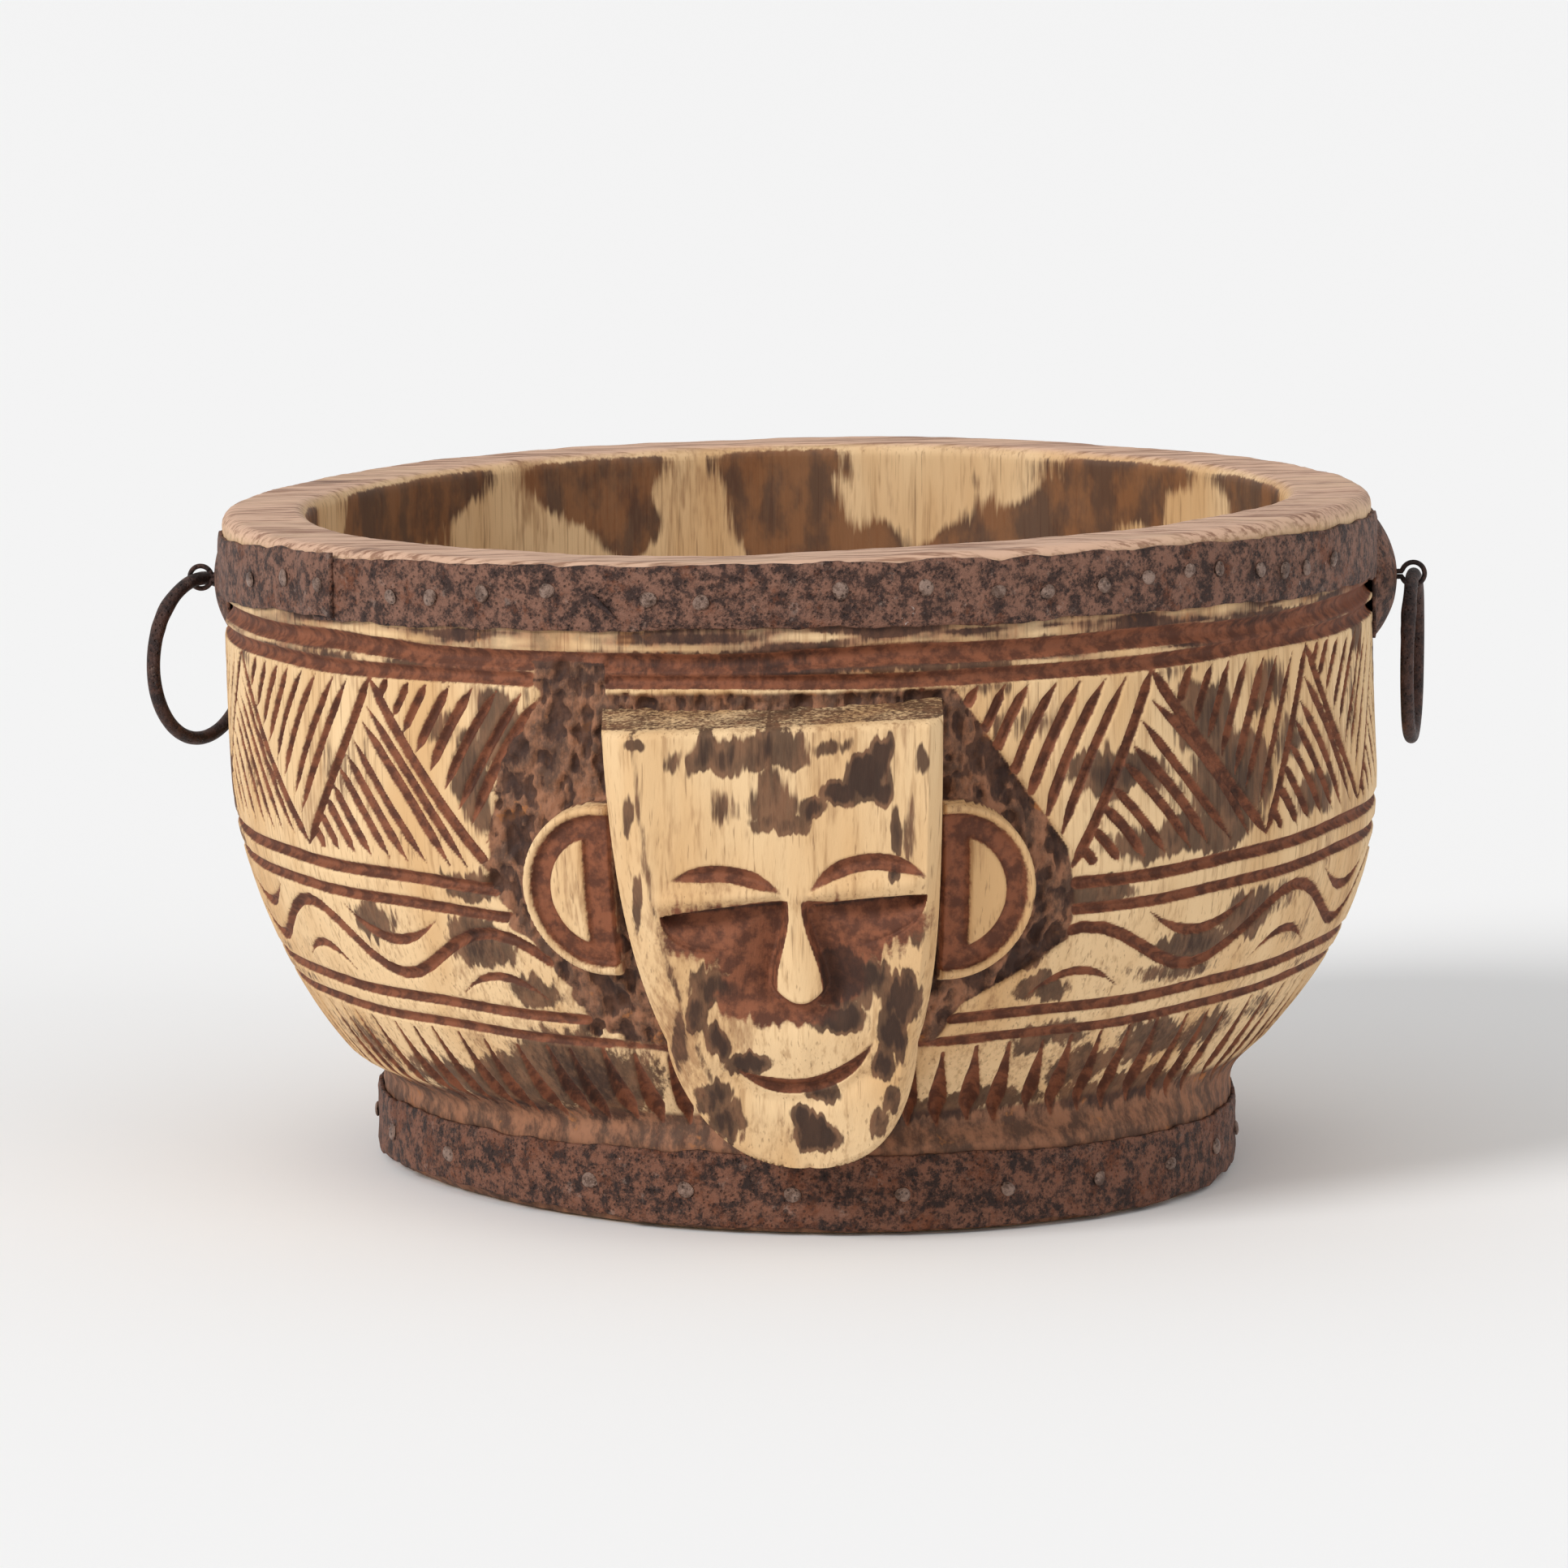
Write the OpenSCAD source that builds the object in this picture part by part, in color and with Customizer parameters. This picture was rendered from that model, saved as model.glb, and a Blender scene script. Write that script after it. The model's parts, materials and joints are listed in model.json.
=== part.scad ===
// Carved wooden bowl with a mask relief, two iron straps and two ring handles.
// Millimetres. The origin is the centre of the base, +Z is up and the mask faces -Y.
// Azimuths are in degrees: 0 is the front, and positive ones turn towards +X.

/* [Bowl] */
// Outer radius of the upright wall
wall_r = 215; // [200:1:230]
// Height from the base to the rim along the bowl's own axis
bowl_h = 248; // [240:1:260]
// Thickness of the upright wall
wall_t = 32; // [25:1:38]
// Thickness of the wood under the hollow
floor_t = 34; // [30:1:60]
// Height at which the round belly becomes an upright wall
shoulder_z = 150; // [140:1:160]
// Half height of the ellipse that rounds the belly
belly_h = 174; // [172:1:175]
// Rounding of the rim's edges
rim_round = 4; // [2:0.5:6]
// Lean of the hand-cut bowl to the left of its foot, in degrees
lean = 1.2; // [0:0.1:2]
// Sideways offset of the leaning bowl on its foot
lean_shift = 3; // [0:0.5:5]

/* [Foot] */
// Radius of the round foot
foot_r = 158; // [150:1:159]
// Height of the foot's upright side
foot_h = 29; // [28:1:32]
// Radius of the second round that widens the foot at the front right
toe_r = 145; // [140:1:150]

/* [Carving] */
// Width of the fine grooves that run round the bowl
groove_w = 3.6; // [2:0.1:5]
// Depth of the mask's brow lines and mouth
line_depth = 4; // [2:0.5:6]
// Depth of the mask's closed eyes
eye_depth = 7; // [3:0.5:9]
// Radius of the half-round ears
ear_r = 30; // [25:1:32]
// How far the ears stand out of the wall
ear_relief = 7; // [4:0.5:10]

/* [Straps] */
// Thickness of the iron strap
strap_t = 1.5; // [1:0.1:2]
// Width of the rim strap
rim_strap_w = 23; // [18:1:24]
// Height of the rim strap's middle at the sides
rim_strap_z = 228; // [226:1:230]
// How far the rim strap climbs towards the front, in degrees
rim_strap_pitch = 2.2; // [0:0.1:2.4]
// Width of the foot strap
foot_strap_w = 24; // [18:1:25]
// Height of the foot strap's lower edge
foot_strap_z = 3; // [2:0.5:3]

/* [Nails] */
// Diameter of a nail's head
head_d = 5.6; // [4:0.2:7]
// Height of a nail's head
head_h = 1; // [0.6:0.1:1.5]
// Diameter of a nail's shank
shank_d = 2; // [1.6:0.1:2.4]
// Length of a nail's shank
shank_l = 16; // [10:1:20]

/* [Handles] */
// Diameter of the domed boss behind each ring
boss_d = 46; // [40:1:50]
// Height of the boss
boss_h = 8.5; // [6:0.5:10]
// Thickness of the boss's sheet iron
boss_t = 1.6; // [1:0.1:2]
// Diameter of the wire that makes the eye
eye_wire_d = 1.9; // [1.6:0.1:2.2]
// Clear diameter of the eye
eye_hole_d = 6.7; // [6.4:0.1:8]
// Diameter of the ring's wire
ring_wire_d = 5.2; // [4:0.1:5.4]
// Radius of the ring to the middle of its wire
ring_r = 30.5; // [25:0.5:32]

/* [Hidden] */
$fn = 96;

// Colours
WOOD = [0.84, 0.70, 0.50];
RUST = [0.42, 0.27, 0.20];
DARK_IRON = [0.30, 0.22, 0.20];
NAIL_IRON = [0.48, 0.42, 0.38];

// Small gaps and overlaps
gap = 0.05;   // round a nail or wire in its hole, and under a strap
sink = 0.3;   // clear space under the ring's wire in its eye
cut = 1;      // how far a cutter runs past the face that it cuts

// Fine grooves: height, and the azimuths between which each runs round the back from one ear to the other
fine_grooves = [[129, 27, 327], [119, 27, 327], [82, 16, 337], [73, 16, 337]];
// Heights of the two rough grooves that run right round under the rim
rough_grooves = [213, 203];
rough_groove_w = 6;

// The second round of the foot
toe = [14, -30];

// Heights of the mask's chin, of the widest part of its jaw and of its top
chin_z = 30.5;
jaw_z = 77;
mask_top = 197;

// The two rim straps meet under the right boss, and overlap at the front left
seam_az = 95;
lap_az = -50;
lap_deg = 4;
seam_gap = 0.03;   // degrees left open between ends that meet
step_inset = 0.4;   // degrees by which the lap's step stays inside both of its layers

// Handle places on the leaning wall: azimuth, height, and the twist at which the ring hangs
LEFT = [-101, 217, -22];
RIGHT = [91, 213.5, -9];

// Derived sizes
inner_r = wall_r - wall_t;
hollow_z = 130;   // where the hollow's round floor becomes its upright side
strap_r = wall_r + gap + strap_t;
eye_r = (eye_hole_d + eye_wire_d) / 2;
eye_at_r = wall_r + strap_t + boss_h + eye_r + eye_wire_d;
leg_gap = 0.05;
leg_z = eye_wire_d / 2 + leg_gap;
leg_hole_d = 2 * eye_wire_d + 0.6;
clinch_l = 15;
boss_ball_r = (pow(boss_d / 2, 2) + pow(boss_h, 2)) / (2 * boss_h);
ring_drop = (eye_hole_d - ring_wire_d) / 2 - sink;

// Nail azimuths on the rim strap: the front ones are irregular, the back ones come in pairs
rim_nails_front_az = [-42, -37, -31, -24, -14, -9, 4, 12, 19, 24, 30, 35, 40, 44, 50, 54, 58, 64];
rim_nails_left_az = [-67, -59, -52];
rim_nails_back_az = [for (pair = [0:7]) for (step = [0, 6]) 112 + pair * 18 + step];
// Nail azimuths about the foot's own centre and about the toe's centre
foot_nails_az = [for (i = [0:11]) 108 + i * 18];
toe_nails_az = [for (i = [0:8]) -38 + i * 15.5];

// Outer radius of the bowl at a height: a belly of half an ellipse, then an upright wall
function outer_r(z) =
    z > shoulder_z ? wall_r : wall_r * sqrt(1 - pow((shoulder_z - z) / belly_h, 2));

// A point on the upright bowl at an azimuth, radius and height
function wall_point(az, r, z) = [r * sin(az), -r * cos(az), z];

// The same point once the bowl leans on its foot
function lean_point(p) = [
    lean_shift + p.x * cos(lean) - p.z * sin(lean),
    p.y,
    p.x * sin(lean) + p.z * cos(lean),
];

module leaning() translate([lean_shift, 0, 0]) rotate([0, -lean, 0]) children();

// Puts a piece that points along -Y on the wall at an azimuth, radius and height
module on_wall(az, r, z) rotate([0, 0, az]) translate([0, -r, z]) children();

// Lays a shape drawn along +Z down so that it points outwards, along -Y
module outwards() rotate([90, 0, 0]) children();

// ---- Wood ----

module outer_profile() {
    steps = 16;
    low = foot_h - 12;
    belly = [for (i = [0:steps]) let (z = low + (shoulder_z - low) * i / steps) [outer_r(z), z]];
    difference() {
        polygon(concat([[0, low]], belly, [[wall_r, bowl_h], [0, bowl_h]]));
        rim_edge(wall_r, -1);
    }
}

// The corner that rounding takes off the rim, on its outer (-1) or inner (1) edge
module rim_edge(r, side) difference() {
    translate([min(r, r + side * rim_round), bowl_h - rim_round]) square([rim_round, rim_round + cut]);
    translate([r + side * rim_round, bowl_h - rim_round]) circle(r = rim_round);
}

module hollow_profile() {
    steps = 14;
    bowl_floor = [
        for (i = [0:steps]) let (a = 90 * i / steps)
            [inner_r * sin(a), hollow_z - (hollow_z - floor_t) * cos(a)]
    ];
    polygon(concat(bowl_floor, [[inner_r, bowl_h + cut], [0, bowl_h + cut]]));
    rim_edge(inner_r, 1);
}

module ring_groove(z, w) rotate_extrude() translate([outer_r(z), z]) circle(d = w, $fn = 24);

module arc_groove(z, from_az, to_az, w) rotate([0, 0, from_az - 90]) rotate_extrude(angle = to_az - from_az)
    translate([outer_r(z), z]) circle(d = w, $fn = 24);

module foot_outline(grow = 0) {
    circle(r = foot_r + grow);
    translate(toe) circle(r = toe_r + grow);
}

// Left and right edge of the mask at a height: a pointed jaw under a head that widens upwards
function mask_left(z) = z < jaw_z ? jaw_mid(z) - jaw_half(z) : -48 - 26 * (1 - exp((jaw_z - z) / 55));
function mask_right(z) = z < jaw_z ? jaw_mid(z) + jaw_half(z) : 40.6 + 8.5 * (1 - exp((jaw_z - z) / 26));
function below_jaw(z) = (jaw_z - z) / (jaw_z - chin_z);
function jaw_half(z) = 44.3 * pow(1 - pow(below_jaw(z), 1.6), 0.4);
function jaw_mid(z) = 6.2 * pow(below_jaw(z), 1.4) - 3.7;

// Shield seen from the front
module shield_outline() {
    jaw = [for (i = [1:9]) chin_z + (jaw_z - chin_z) * pow(i / 9, 2)];
    head = [for (i = [1:5]) jaw_z + (mask_top + cut - jaw_z) * i / 5];
    levels = concat(jaw, head);
    last = len(levels) - 1;
    polygon(concat(
        [[jaw_mid(chin_z), chin_z]],
        [for (z = levels) [mask_right(z), z]],
        [for (i = [last:-1:0]) [mask_left(levels[i]), levels[i]]]
    ));
}

// Shield seen from the side: the forehead stands proudest and the chin runs back
module shield_side() polygon([
    [-170, mask_top], [-215, 195.5], [-240, 191],
    [-235, 131], [-224, 86], [-214, 50], [-208, chin_z],
    [-200, chin_z - cut], [-130, chin_z - cut],
]);

module mask_block() intersection() {
    translate([0, -120, 0]) outwards() linear_extrude(150) shield_outline();
    translate([-100, 0, 0]) rotate([90, 0, 90]) linear_extrude(200) shield_side();
}

// Half of a round seen from the front: the part under (-1) or over (1) the height z
module half_round(centre, r, side) intersection() {
    translate(centre) circle(r = r);
    translate([centre.x, centre.y + side * r]) square(2 * r, center = true);
}

module arc_band(centre, r, w, side) difference() {
    half_round(centre, r, side);
    translate(centre) circle(r = r - w);
}

module closed_eyes() {
    face_y = 236;
    translate([0, eye_depth - face_y, 0]) outwards() linear_extrude(20) {
        half_round([-29.5, 129], 21.5, -1);
        half_round([24, 131], 19.5, -1);
    }
}

module mouth() {
    face_y = 217.5;
    corner_z = 78;
    translate([0, line_depth - face_y, 0]) outwards() linear_extrude(20) difference() {
        arc_band([-3.6, 94], 34, 4, -1);
        translate([0, corner_z + 20]) square([100, 40], center = true);
    }
}

module brows() {
    face_y = 237;
    translate([0, line_depth - face_y, 0]) outwards() linear_extrude(20) {
        brow([-31, 100.5], 42, 134.5);
        brow([25.4, 115.5], 32, 136.5);
    }
}

// The part of an arch over the height low_z
module brow(centre, r, low_z) difference() {
    arc_band(centre, r, 4, 1);
    translate([centre.x, low_z - 30]) square([120, 60], center = true);
}

// A wedge, narrow between the eyes and broad over the mouth
module nose() intersection() {
    translate([0, -200, 0]) outwards() linear_extrude(45) polygon([[-4, 130], [1, 130], [6.5, 96], [-8, 96]]);
    translate([-20, 0, 0]) rotate([90, 0, 90]) linear_extrude(40)
        polygon([[-210, 130], [-236, 130], [-235, 100], [-231, 96], [-210, 96]]);
}

module mask() {
    difference() {
        mask_block();
        closed_eyes();
        mouth();
        brows();
    }
    nose();
}

// A half-round ear, flat towards the mask, with a groove along its curve
module ear(az, side) {
    on_wall(az, 190, 130) outwards() linear_extrude(wall_r + ear_relief - 190) difference() {
        ear_half(ear_r, side);
        difference() {
            ear_half(ear_r - 8, side);
            ear_half(ear_r - 12, side);
        }
    }
}

module ear_half(r, side) intersection() {
    circle(r = r);
    translate([side * r, 0]) square(2 * r, center = true);
}

module nail_hole(r, z) on_wall(0, r, z) translate([0, strap_t + cut, 0]) outwards()
    translate([0, 0, -shank_l])
        cylinder(d = shank_d + 2 * gap, h = shank_l + 2 * strap_t + 3 * cut, $fn = 24);

module rim_nail_holes(azs) for (az = azs) rotate([0, 0, az]) nail_hole(strap_r, nail_z(az));

module foot_nail_holes() {
    for (az = foot_nails_az) rotate([0, 0, az]) nail_hole(foot_r + gap + strap_t, foot_nail_z);
    translate(toe) for (az = toe_nails_az) rotate([0, 0, az]) nail_hole(toe_r + gap + strap_t, foot_nail_z);
}

module leg_hole(handle) on_wall(handle[0], inner_r - 5, handle[1]) outwards()
    cylinder(d = leg_hole_d, h = wall_t + boss_h + 10, $fn = 32);

module bowl_body() color(WOOD) difference() {
    union() {
        difference() {
            leaning() rotate_extrude($fn = 180) outer_profile();
            leaning() for (g = fine_grooves) arc_groove(g[0], g[1], g[2], groove_w);
            leaning() for (z = rough_grooves) ring_groove(z, rough_groove_w);
        }
        linear_extrude(foot_h) foot_outline();
        mask();
        leaning() ear(-20, -1);
        leaning() ear(14.5, 1);
    }
    leaning() rotate_extrude($fn = 180) hollow_profile();
    leaning() rim_nail_holes(concat(rim_nails_front_az, rim_nails_left_az, rim_nails_back_az));
    leaning() leg_hole(LEFT);
    leaning() leg_hole(RIGHT);
    leaning() bent_nail_hole();
    foot_nail_holes();
}

// ---- Straps ----

// Height of the tilted rim strap's middle at an azimuth
function strap_mid_z(az) = rim_strap_z + wall_r * cos(az) * tan(rim_strap_pitch);

// Nails wander a little above and below the strap's middle
function nail_z(az) = strap_mid_z(az) + 2 * sin(az * 11);
foot_nail_z = foot_strap_z + foot_strap_w / 2;

module strap_slab() translate([0, 0, rim_strap_z]) rotate([-rim_strap_pitch, 0, 0])
    cylinder(r = wall_r + 20, h = rim_strap_w, center = true);

// Part of an upright shell between two azimuths, in the layer on the wall (0) or in the one over it (1)
module strap_arc(from_az, to_az, layer = 0) intersection() {
    rotate([0, 0, from_az - 90]) rotate_extrude(angle = to_az - from_az, $fn = 180)
        translate([wall_r + gap + layer * (strap_t + gap), rim_strap_z - 40]) square([strap_t, 80]);
    strap_slab();
}

module rim_strap_front() color(RUST) leaning() difference() {
    strap_arc(lap_az - lap_deg, seam_az);
    rim_nail_holes(concat(rim_nails_front_az, rim_nails_left_az));
    leg_hole(RIGHT);
    bent_nail_hole();
}

module rim_strap_back() color(RUST) leaning() difference() {
    union() {
        strap_arc(seam_az + seam_gap, 360 + lap_az - lap_deg - seam_gap);
        strap_arc(360 + lap_az - 2 * lap_deg, 360 + lap_az, 1);
        lap_step();
    }
    rim_nail_holes(concat(rim_nails_back_az, rim_nails_left_az));
    leg_hole(LEFT);
}

// The short step in the back strap where it climbs over the front one
module lap_step() intersection() {
    rotate([0, 0, lap_az - 2 * lap_deg + step_inset - 90])
        rotate_extrude(angle = lap_deg - 2 * step_inset, $fn = 180)
            translate([strap_r - strap_t / 2, rim_strap_z - 40]) square([strap_t + gap, 80]);
    strap_slab();
}

module foot_strap() color(RUST) difference() {
    translate([0, 0, foot_strap_z]) linear_extrude(foot_strap_w) difference() {
        foot_outline(gap + strap_t);
        foot_outline(gap);
    }
    foot_nail_holes();
}

// ---- Nails ----

module nail() {
    outwards() cylinder(d1 = head_d, d2 = head_d * 0.7, h = head_h, $fn = 32);
    outwards() translate([0, 0, -shank_l]) cylinder(d = shank_d, h = shank_l + head_h / 2, $fn = 24);
}

module rim_nails(azs, r = strap_r) leaning() for (az = azs) on_wall(az, r, nail_z(az)) nail();

module rim_nails_front() color(NAIL_IRON) rim_nails(rim_nails_front_az);

// The nails nearest the lap go through both layers of strap
module rim_nails_back() color(NAIL_IRON) {
    rim_nails(rim_nails_back_az);
    rim_nails([for (az = rim_nails_left_az) if (!on_lap(az)) az]);
    rim_nails([for (az = rim_nails_left_az) if (on_lap(az)) az], strap_r + gap + strap_t);
}
function on_lap(az) = az > lap_az - 2 * lap_deg && az < lap_az;

module foot_nails() color(NAIL_IRON) {
    for (az = foot_nails_az) on_wall(az, foot_r + gap + strap_t, foot_nail_z) nail();
    translate(toe) for (az = toe_nails_az) on_wall(az, toe_r + gap + strap_t, foot_nail_z) nail();
}

// A cut nail that bent over and was hammered down on the strap
bent_az = -19.5;
bent_z = 236;
bent_l = 12;
bent_turn = 130;

module bent_nail_hole() on_wall(bent_az, strap_r, bent_z) outwards()
    translate([0, 0, -shank_l]) cylinder(d = shank_d + 2 * gap, h = shank_l + cut, $fn = 24);

module bent_nail() color(NAIL_IRON) leaning() on_wall(bent_az, strap_r + shank_d / 2, bent_z) {
    outwards() translate([0, 0, -shank_l]) cylinder(d = shank_d, h = shank_l, $fn = 24);
    sphere(d = shank_d, $fn = 24);
    rotate([0, bent_turn, 0]) cylinder(d1 = shank_d, d2 = shank_d / 3, h = bent_l, $fn = 24);
}

// ---- Handles ----

// A shallow domed cap of sheet iron, open at the back, with a hole for the eye's two legs
module boss(handle) color(RUST) leaning() on_wall(handle[0], strap_r, handle[1]) outwards() difference() {
    translate([0, 0, boss_h - boss_ball_r]) difference() {
        sphere(r = boss_ball_r, $fn = 120);
        sphere(r = boss_ball_r - boss_t, $fn = 120);
    }
    translate([0, 0, -2 * boss_ball_r]) cylinder(r = 2 * boss_ball_r, h = 2 * boss_ball_r);
    cylinder(d = leg_hole_d, h = 2 * boss_h, $fn = 32);
}

module boss_left() boss(LEFT);
module boss_right() boss(RIGHT);

// Wire eye: a round loop, two legs through the wall, and their ends bent flat inside
module eye(handle) color(DARK_IRON) leaning() on_wall(handle[0], eye_at_r, handle[1]) {
    rotate([0, 90, 0]) rotate_extrude($fn = 64) translate([eye_r, 0]) circle(d = eye_wire_d, $fn = 32);
    for (side = [-1, 1]) translate([0, 0, side * leg_z]) eye_leg(side);
}

// One leg and its bent end; side is 1 for the end that points up and -1 for the one that points down
module eye_leg(side) {
    leg_from = eye_r;
    leg_to = eye_at_r - inner_r + eye_wire_d / 2 + gap;
    translate([0, leg_to, 0]) {
        outwards() cylinder(d = eye_wire_d, h = leg_to - leg_from, $fn = 32);
        sphere(d = eye_wire_d, $fn = 32);
        rotate([side > 0 ? 0 : 180, 0, 0]) cylinder(d = eye_wire_d, h = clinch_l, $fn = 32);
    }
}

module eye_left() eye(LEFT);
module eye_right() eye(RIGHT);

// The ring hangs plumb from the bottom of its eye, whatever the lean of the bowl
function ring_pivot(handle) =
    lean_point(wall_point(handle[0], eye_at_r, handle[1])) - [0, 0, ring_drop];

module ring(handle) color(DARK_IRON) translate(ring_pivot(handle)) rotate([0, 0, handle[0] + handle[2]])
    translate([0, 0, -ring_r]) rotate([90, 0, 0]) rotate_extrude($fn = 120)
        translate([ring_r, 0]) circle(d = ring_wire_d, $fn = 48);

module ring_left() ring(LEFT);
module ring_right() ring(RIGHT);

bowl_body();
rim_strap_front();
rim_strap_back();
foot_strap();
rim_nails_front();
rim_nails_back();
foot_nails();
bent_nail();
boss_left();
boss_right();
eye_left();
eye_right();
ring_left();
ring_right();
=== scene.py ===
"""Looks of the carved wooden bowl: wood with chip carving and scorching, iron straps, nails and ring handles.

The rings hang where the frame's joints are, and the other sizes and places are those of the CAD.
Lengths below are in millimetres, and Blender gets them in metres.
Azimuths are in degrees about the bowl's axis: 0 is the front, where the mask is, and positive is towards +X.
"""

import json
import math

import bpy
import numpy as np
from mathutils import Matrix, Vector


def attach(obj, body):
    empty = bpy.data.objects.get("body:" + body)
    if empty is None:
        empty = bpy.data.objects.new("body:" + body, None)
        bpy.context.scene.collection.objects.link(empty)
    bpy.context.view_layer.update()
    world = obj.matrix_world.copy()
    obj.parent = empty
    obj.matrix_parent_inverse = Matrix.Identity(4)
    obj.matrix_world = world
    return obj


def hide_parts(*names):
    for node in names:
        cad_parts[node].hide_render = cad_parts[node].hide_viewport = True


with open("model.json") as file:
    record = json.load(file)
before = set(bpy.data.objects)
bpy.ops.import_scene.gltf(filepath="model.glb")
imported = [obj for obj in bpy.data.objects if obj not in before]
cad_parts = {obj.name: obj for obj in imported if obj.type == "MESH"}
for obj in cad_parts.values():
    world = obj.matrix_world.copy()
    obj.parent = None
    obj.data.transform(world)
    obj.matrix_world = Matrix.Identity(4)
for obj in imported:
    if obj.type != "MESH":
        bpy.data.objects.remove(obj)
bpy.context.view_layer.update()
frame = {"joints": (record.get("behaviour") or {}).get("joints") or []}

MM = 0.001

# ---- Sizes of the bowl, as in the CAD ----

WALL_R = 215.0
WALL_ROUND = 2 * math.pi * WALL_R
BOWL_H = 248.0
INNER_R = 183.0
FLOOR_T = 34.0
HOLLOW_Z = 130.0
SHOULDER_Z = 150.0
BELLY_H = 176.0
RIM_ROUND = 5.0
LEAN = math.radians(1.2)
LEAN_SHIFT = 3.0

FOOT_R = 158.0
FOOT_H = 29.0
TOE_R = 145.0
TOE = (14.0, -30.0)

STRAP_T = 1.5
RIM_STRAP_W = 23.0
RIM_STRAP_Z = 228.0
RIM_STRAP_PITCH = math.radians(2.2)
FOOT_STRAP_W = 24.0
FOOT_STRAP_Z = 3.0
SEAM_AZ = 95.0
LAP_AZ = -50.0
LAP_DEG = 4.0

RIM_NAILS_FRONT = [-42, -37, -31, -24, -14, -9, 4, 12, 19, 24, 30, 35, 40, 44, 50, 54, 58, 64]
RIM_NAILS_LEFT = [-67, -59, -52]
RIM_NAILS_BACK = [112 + pair * 18 + step for pair in range(8) for step in (0, 6)]
FOOT_NAILS = [108 + i * 18 for i in range(12)]
TOE_NAILS = [-38 + i * 15.5 for i in range(9)]

BOSS_D = 46.0
BOSS_H = 8.5
EYE_WIRE = 1.9
EYE_HOLE = 6.7
RING_WIRE = 5.2
RING_R = 30.5
HANDLES = {"left": (-101.0, 217.0, -22.0), "right": (91.0, 213.5, -9.0)}


# ---- Noise and small maths ----

def lattice(ix, iy, iz, seed):
    """A fixed number from 0 to 1 for each lattice point."""
    h = ix * 73856093 ^ iy * 19349663 ^ iz * 83492791 ^ seed * 2654435761
    h = (h ^ (h >> 13)) * 1274126177
    return ((h ^ (h >> 16)) & 0xFFFF) / 65535.0


def noise(points, cell, seed):
    """Smooth noise from -1 to 1 at points in millimetres; cell is its size, or its size along each axis."""
    q = points / np.asarray(cell, float)
    base = np.floor(q).astype(np.int64)
    f = q - base
    f = f * f * (3 - 2 * f)
    total = np.zeros(len(points))
    for dx in (0, 1):
        for dy in (0, 1):
            for dz in (0, 1):
                w = np.abs(1 - dx - f[:, 0]) * np.abs(1 - dy - f[:, 1]) * np.abs(1 - dz - f[:, 2])
                total += w * lattice(base[:, 0] + dx, base[:, 1] + dy, base[:, 2] + dz, seed)
    return 2 * total - 1


def fractal(points, cell, seed, octaves=3):
    """Noise with finer octaves on top, from about -1 to 1."""
    cell = np.asarray(cell, float)
    return sum(noise(points, cell / 2 ** i, seed + i) / 2 ** i for i in range(octaves)) / 1.5


def smooth(x, low, high):
    """0 below low, 1 above high, and a smooth step between. It steps down when low is above high."""
    t = np.clip((np.asarray(x, float) - low) / (high - low), 0, 1)
    return t * t * (3 - 2 * t)


def bump(x, centre, half):
    """1 at centre, falling as a bell to about 0 at twice half away."""
    return np.exp(-((np.asarray(x, float) - centre) / half) ** 2)


# ---- Places on the bowl ----

def wall_points(az, r, z):
    """Points of the upright bowl at azimuths in degrees, radii and heights."""
    a, r, z = np.broadcast_arrays(np.radians(az), r, z)
    return np.stack([r * np.sin(a), -r * np.cos(a), z], -1)


def leaning(points):
    """The same points once the bowl leans on its foot."""
    x, y, z = points[..., 0], points[..., 1], points[..., 2]
    c, s = math.cos(LEAN), math.sin(LEAN)
    return np.stack([LEAN_SHIFT + x * c - z * s, y, x * s + z * c], -1)


def belly_r(z):
    """Radius of the belly at heights z, and of the upright wall above it."""
    low = np.clip(SHOULDER_Z - np.asarray(z, float), 0, BELLY_H)
    return WALL_R * np.sqrt(1 - (low / BELLY_H) ** 2)


def foot_reach(az):
    """Radius of the foot's outline: two rounds, blended softly where they cross."""
    away = math.hypot(*TOE)
    turn = np.radians(az) - math.atan2(TOE[0], -TOE[1])
    toe = away * np.cos(turn) + np.sqrt(TOE_R ** 2 - (away * np.sin(turn)) ** 2)
    soft = 5.0
    return FOOT_R + soft * np.log1p(np.exp((toe - FOOT_R) / soft)) - soft * 0.1


def outer_r(az, z):
    """Outer radius of the bare wood, without carving: upright wall, belly and foot."""
    r = belly_r(z) + 3.0 * np.sin(np.radians(az)) * bump(z, 95, 48)
    return r + (foot_reach(az) - r) * smooth(z, 47, FOOT_H + 1)


def rim_wave(az):
    """How far the hand-cut rim rises or falls along its way round."""
    a = np.radians(az)
    return 0.9 * np.sin(2 * a + 0.6) + 0.6 * np.sin(3 * a - 1.0) + 0.3 * np.sin(7 * a)


def strap_mid(az):
    """Height of the tilted rim strap's middle."""
    return RIM_STRAP_Z + WALL_R * np.cos(np.radians(az)) * math.tan(RIM_STRAP_PITCH)


# ---- Meshes ----

# The part of a texture square that a strip's lanes fill, and the margin left before them
UV_SHARE = 0.98
UV_MARGIN = 0.01
# Both coordinates of the spot that faces out of sight share
HIDDEN_UV = 0.001


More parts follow.
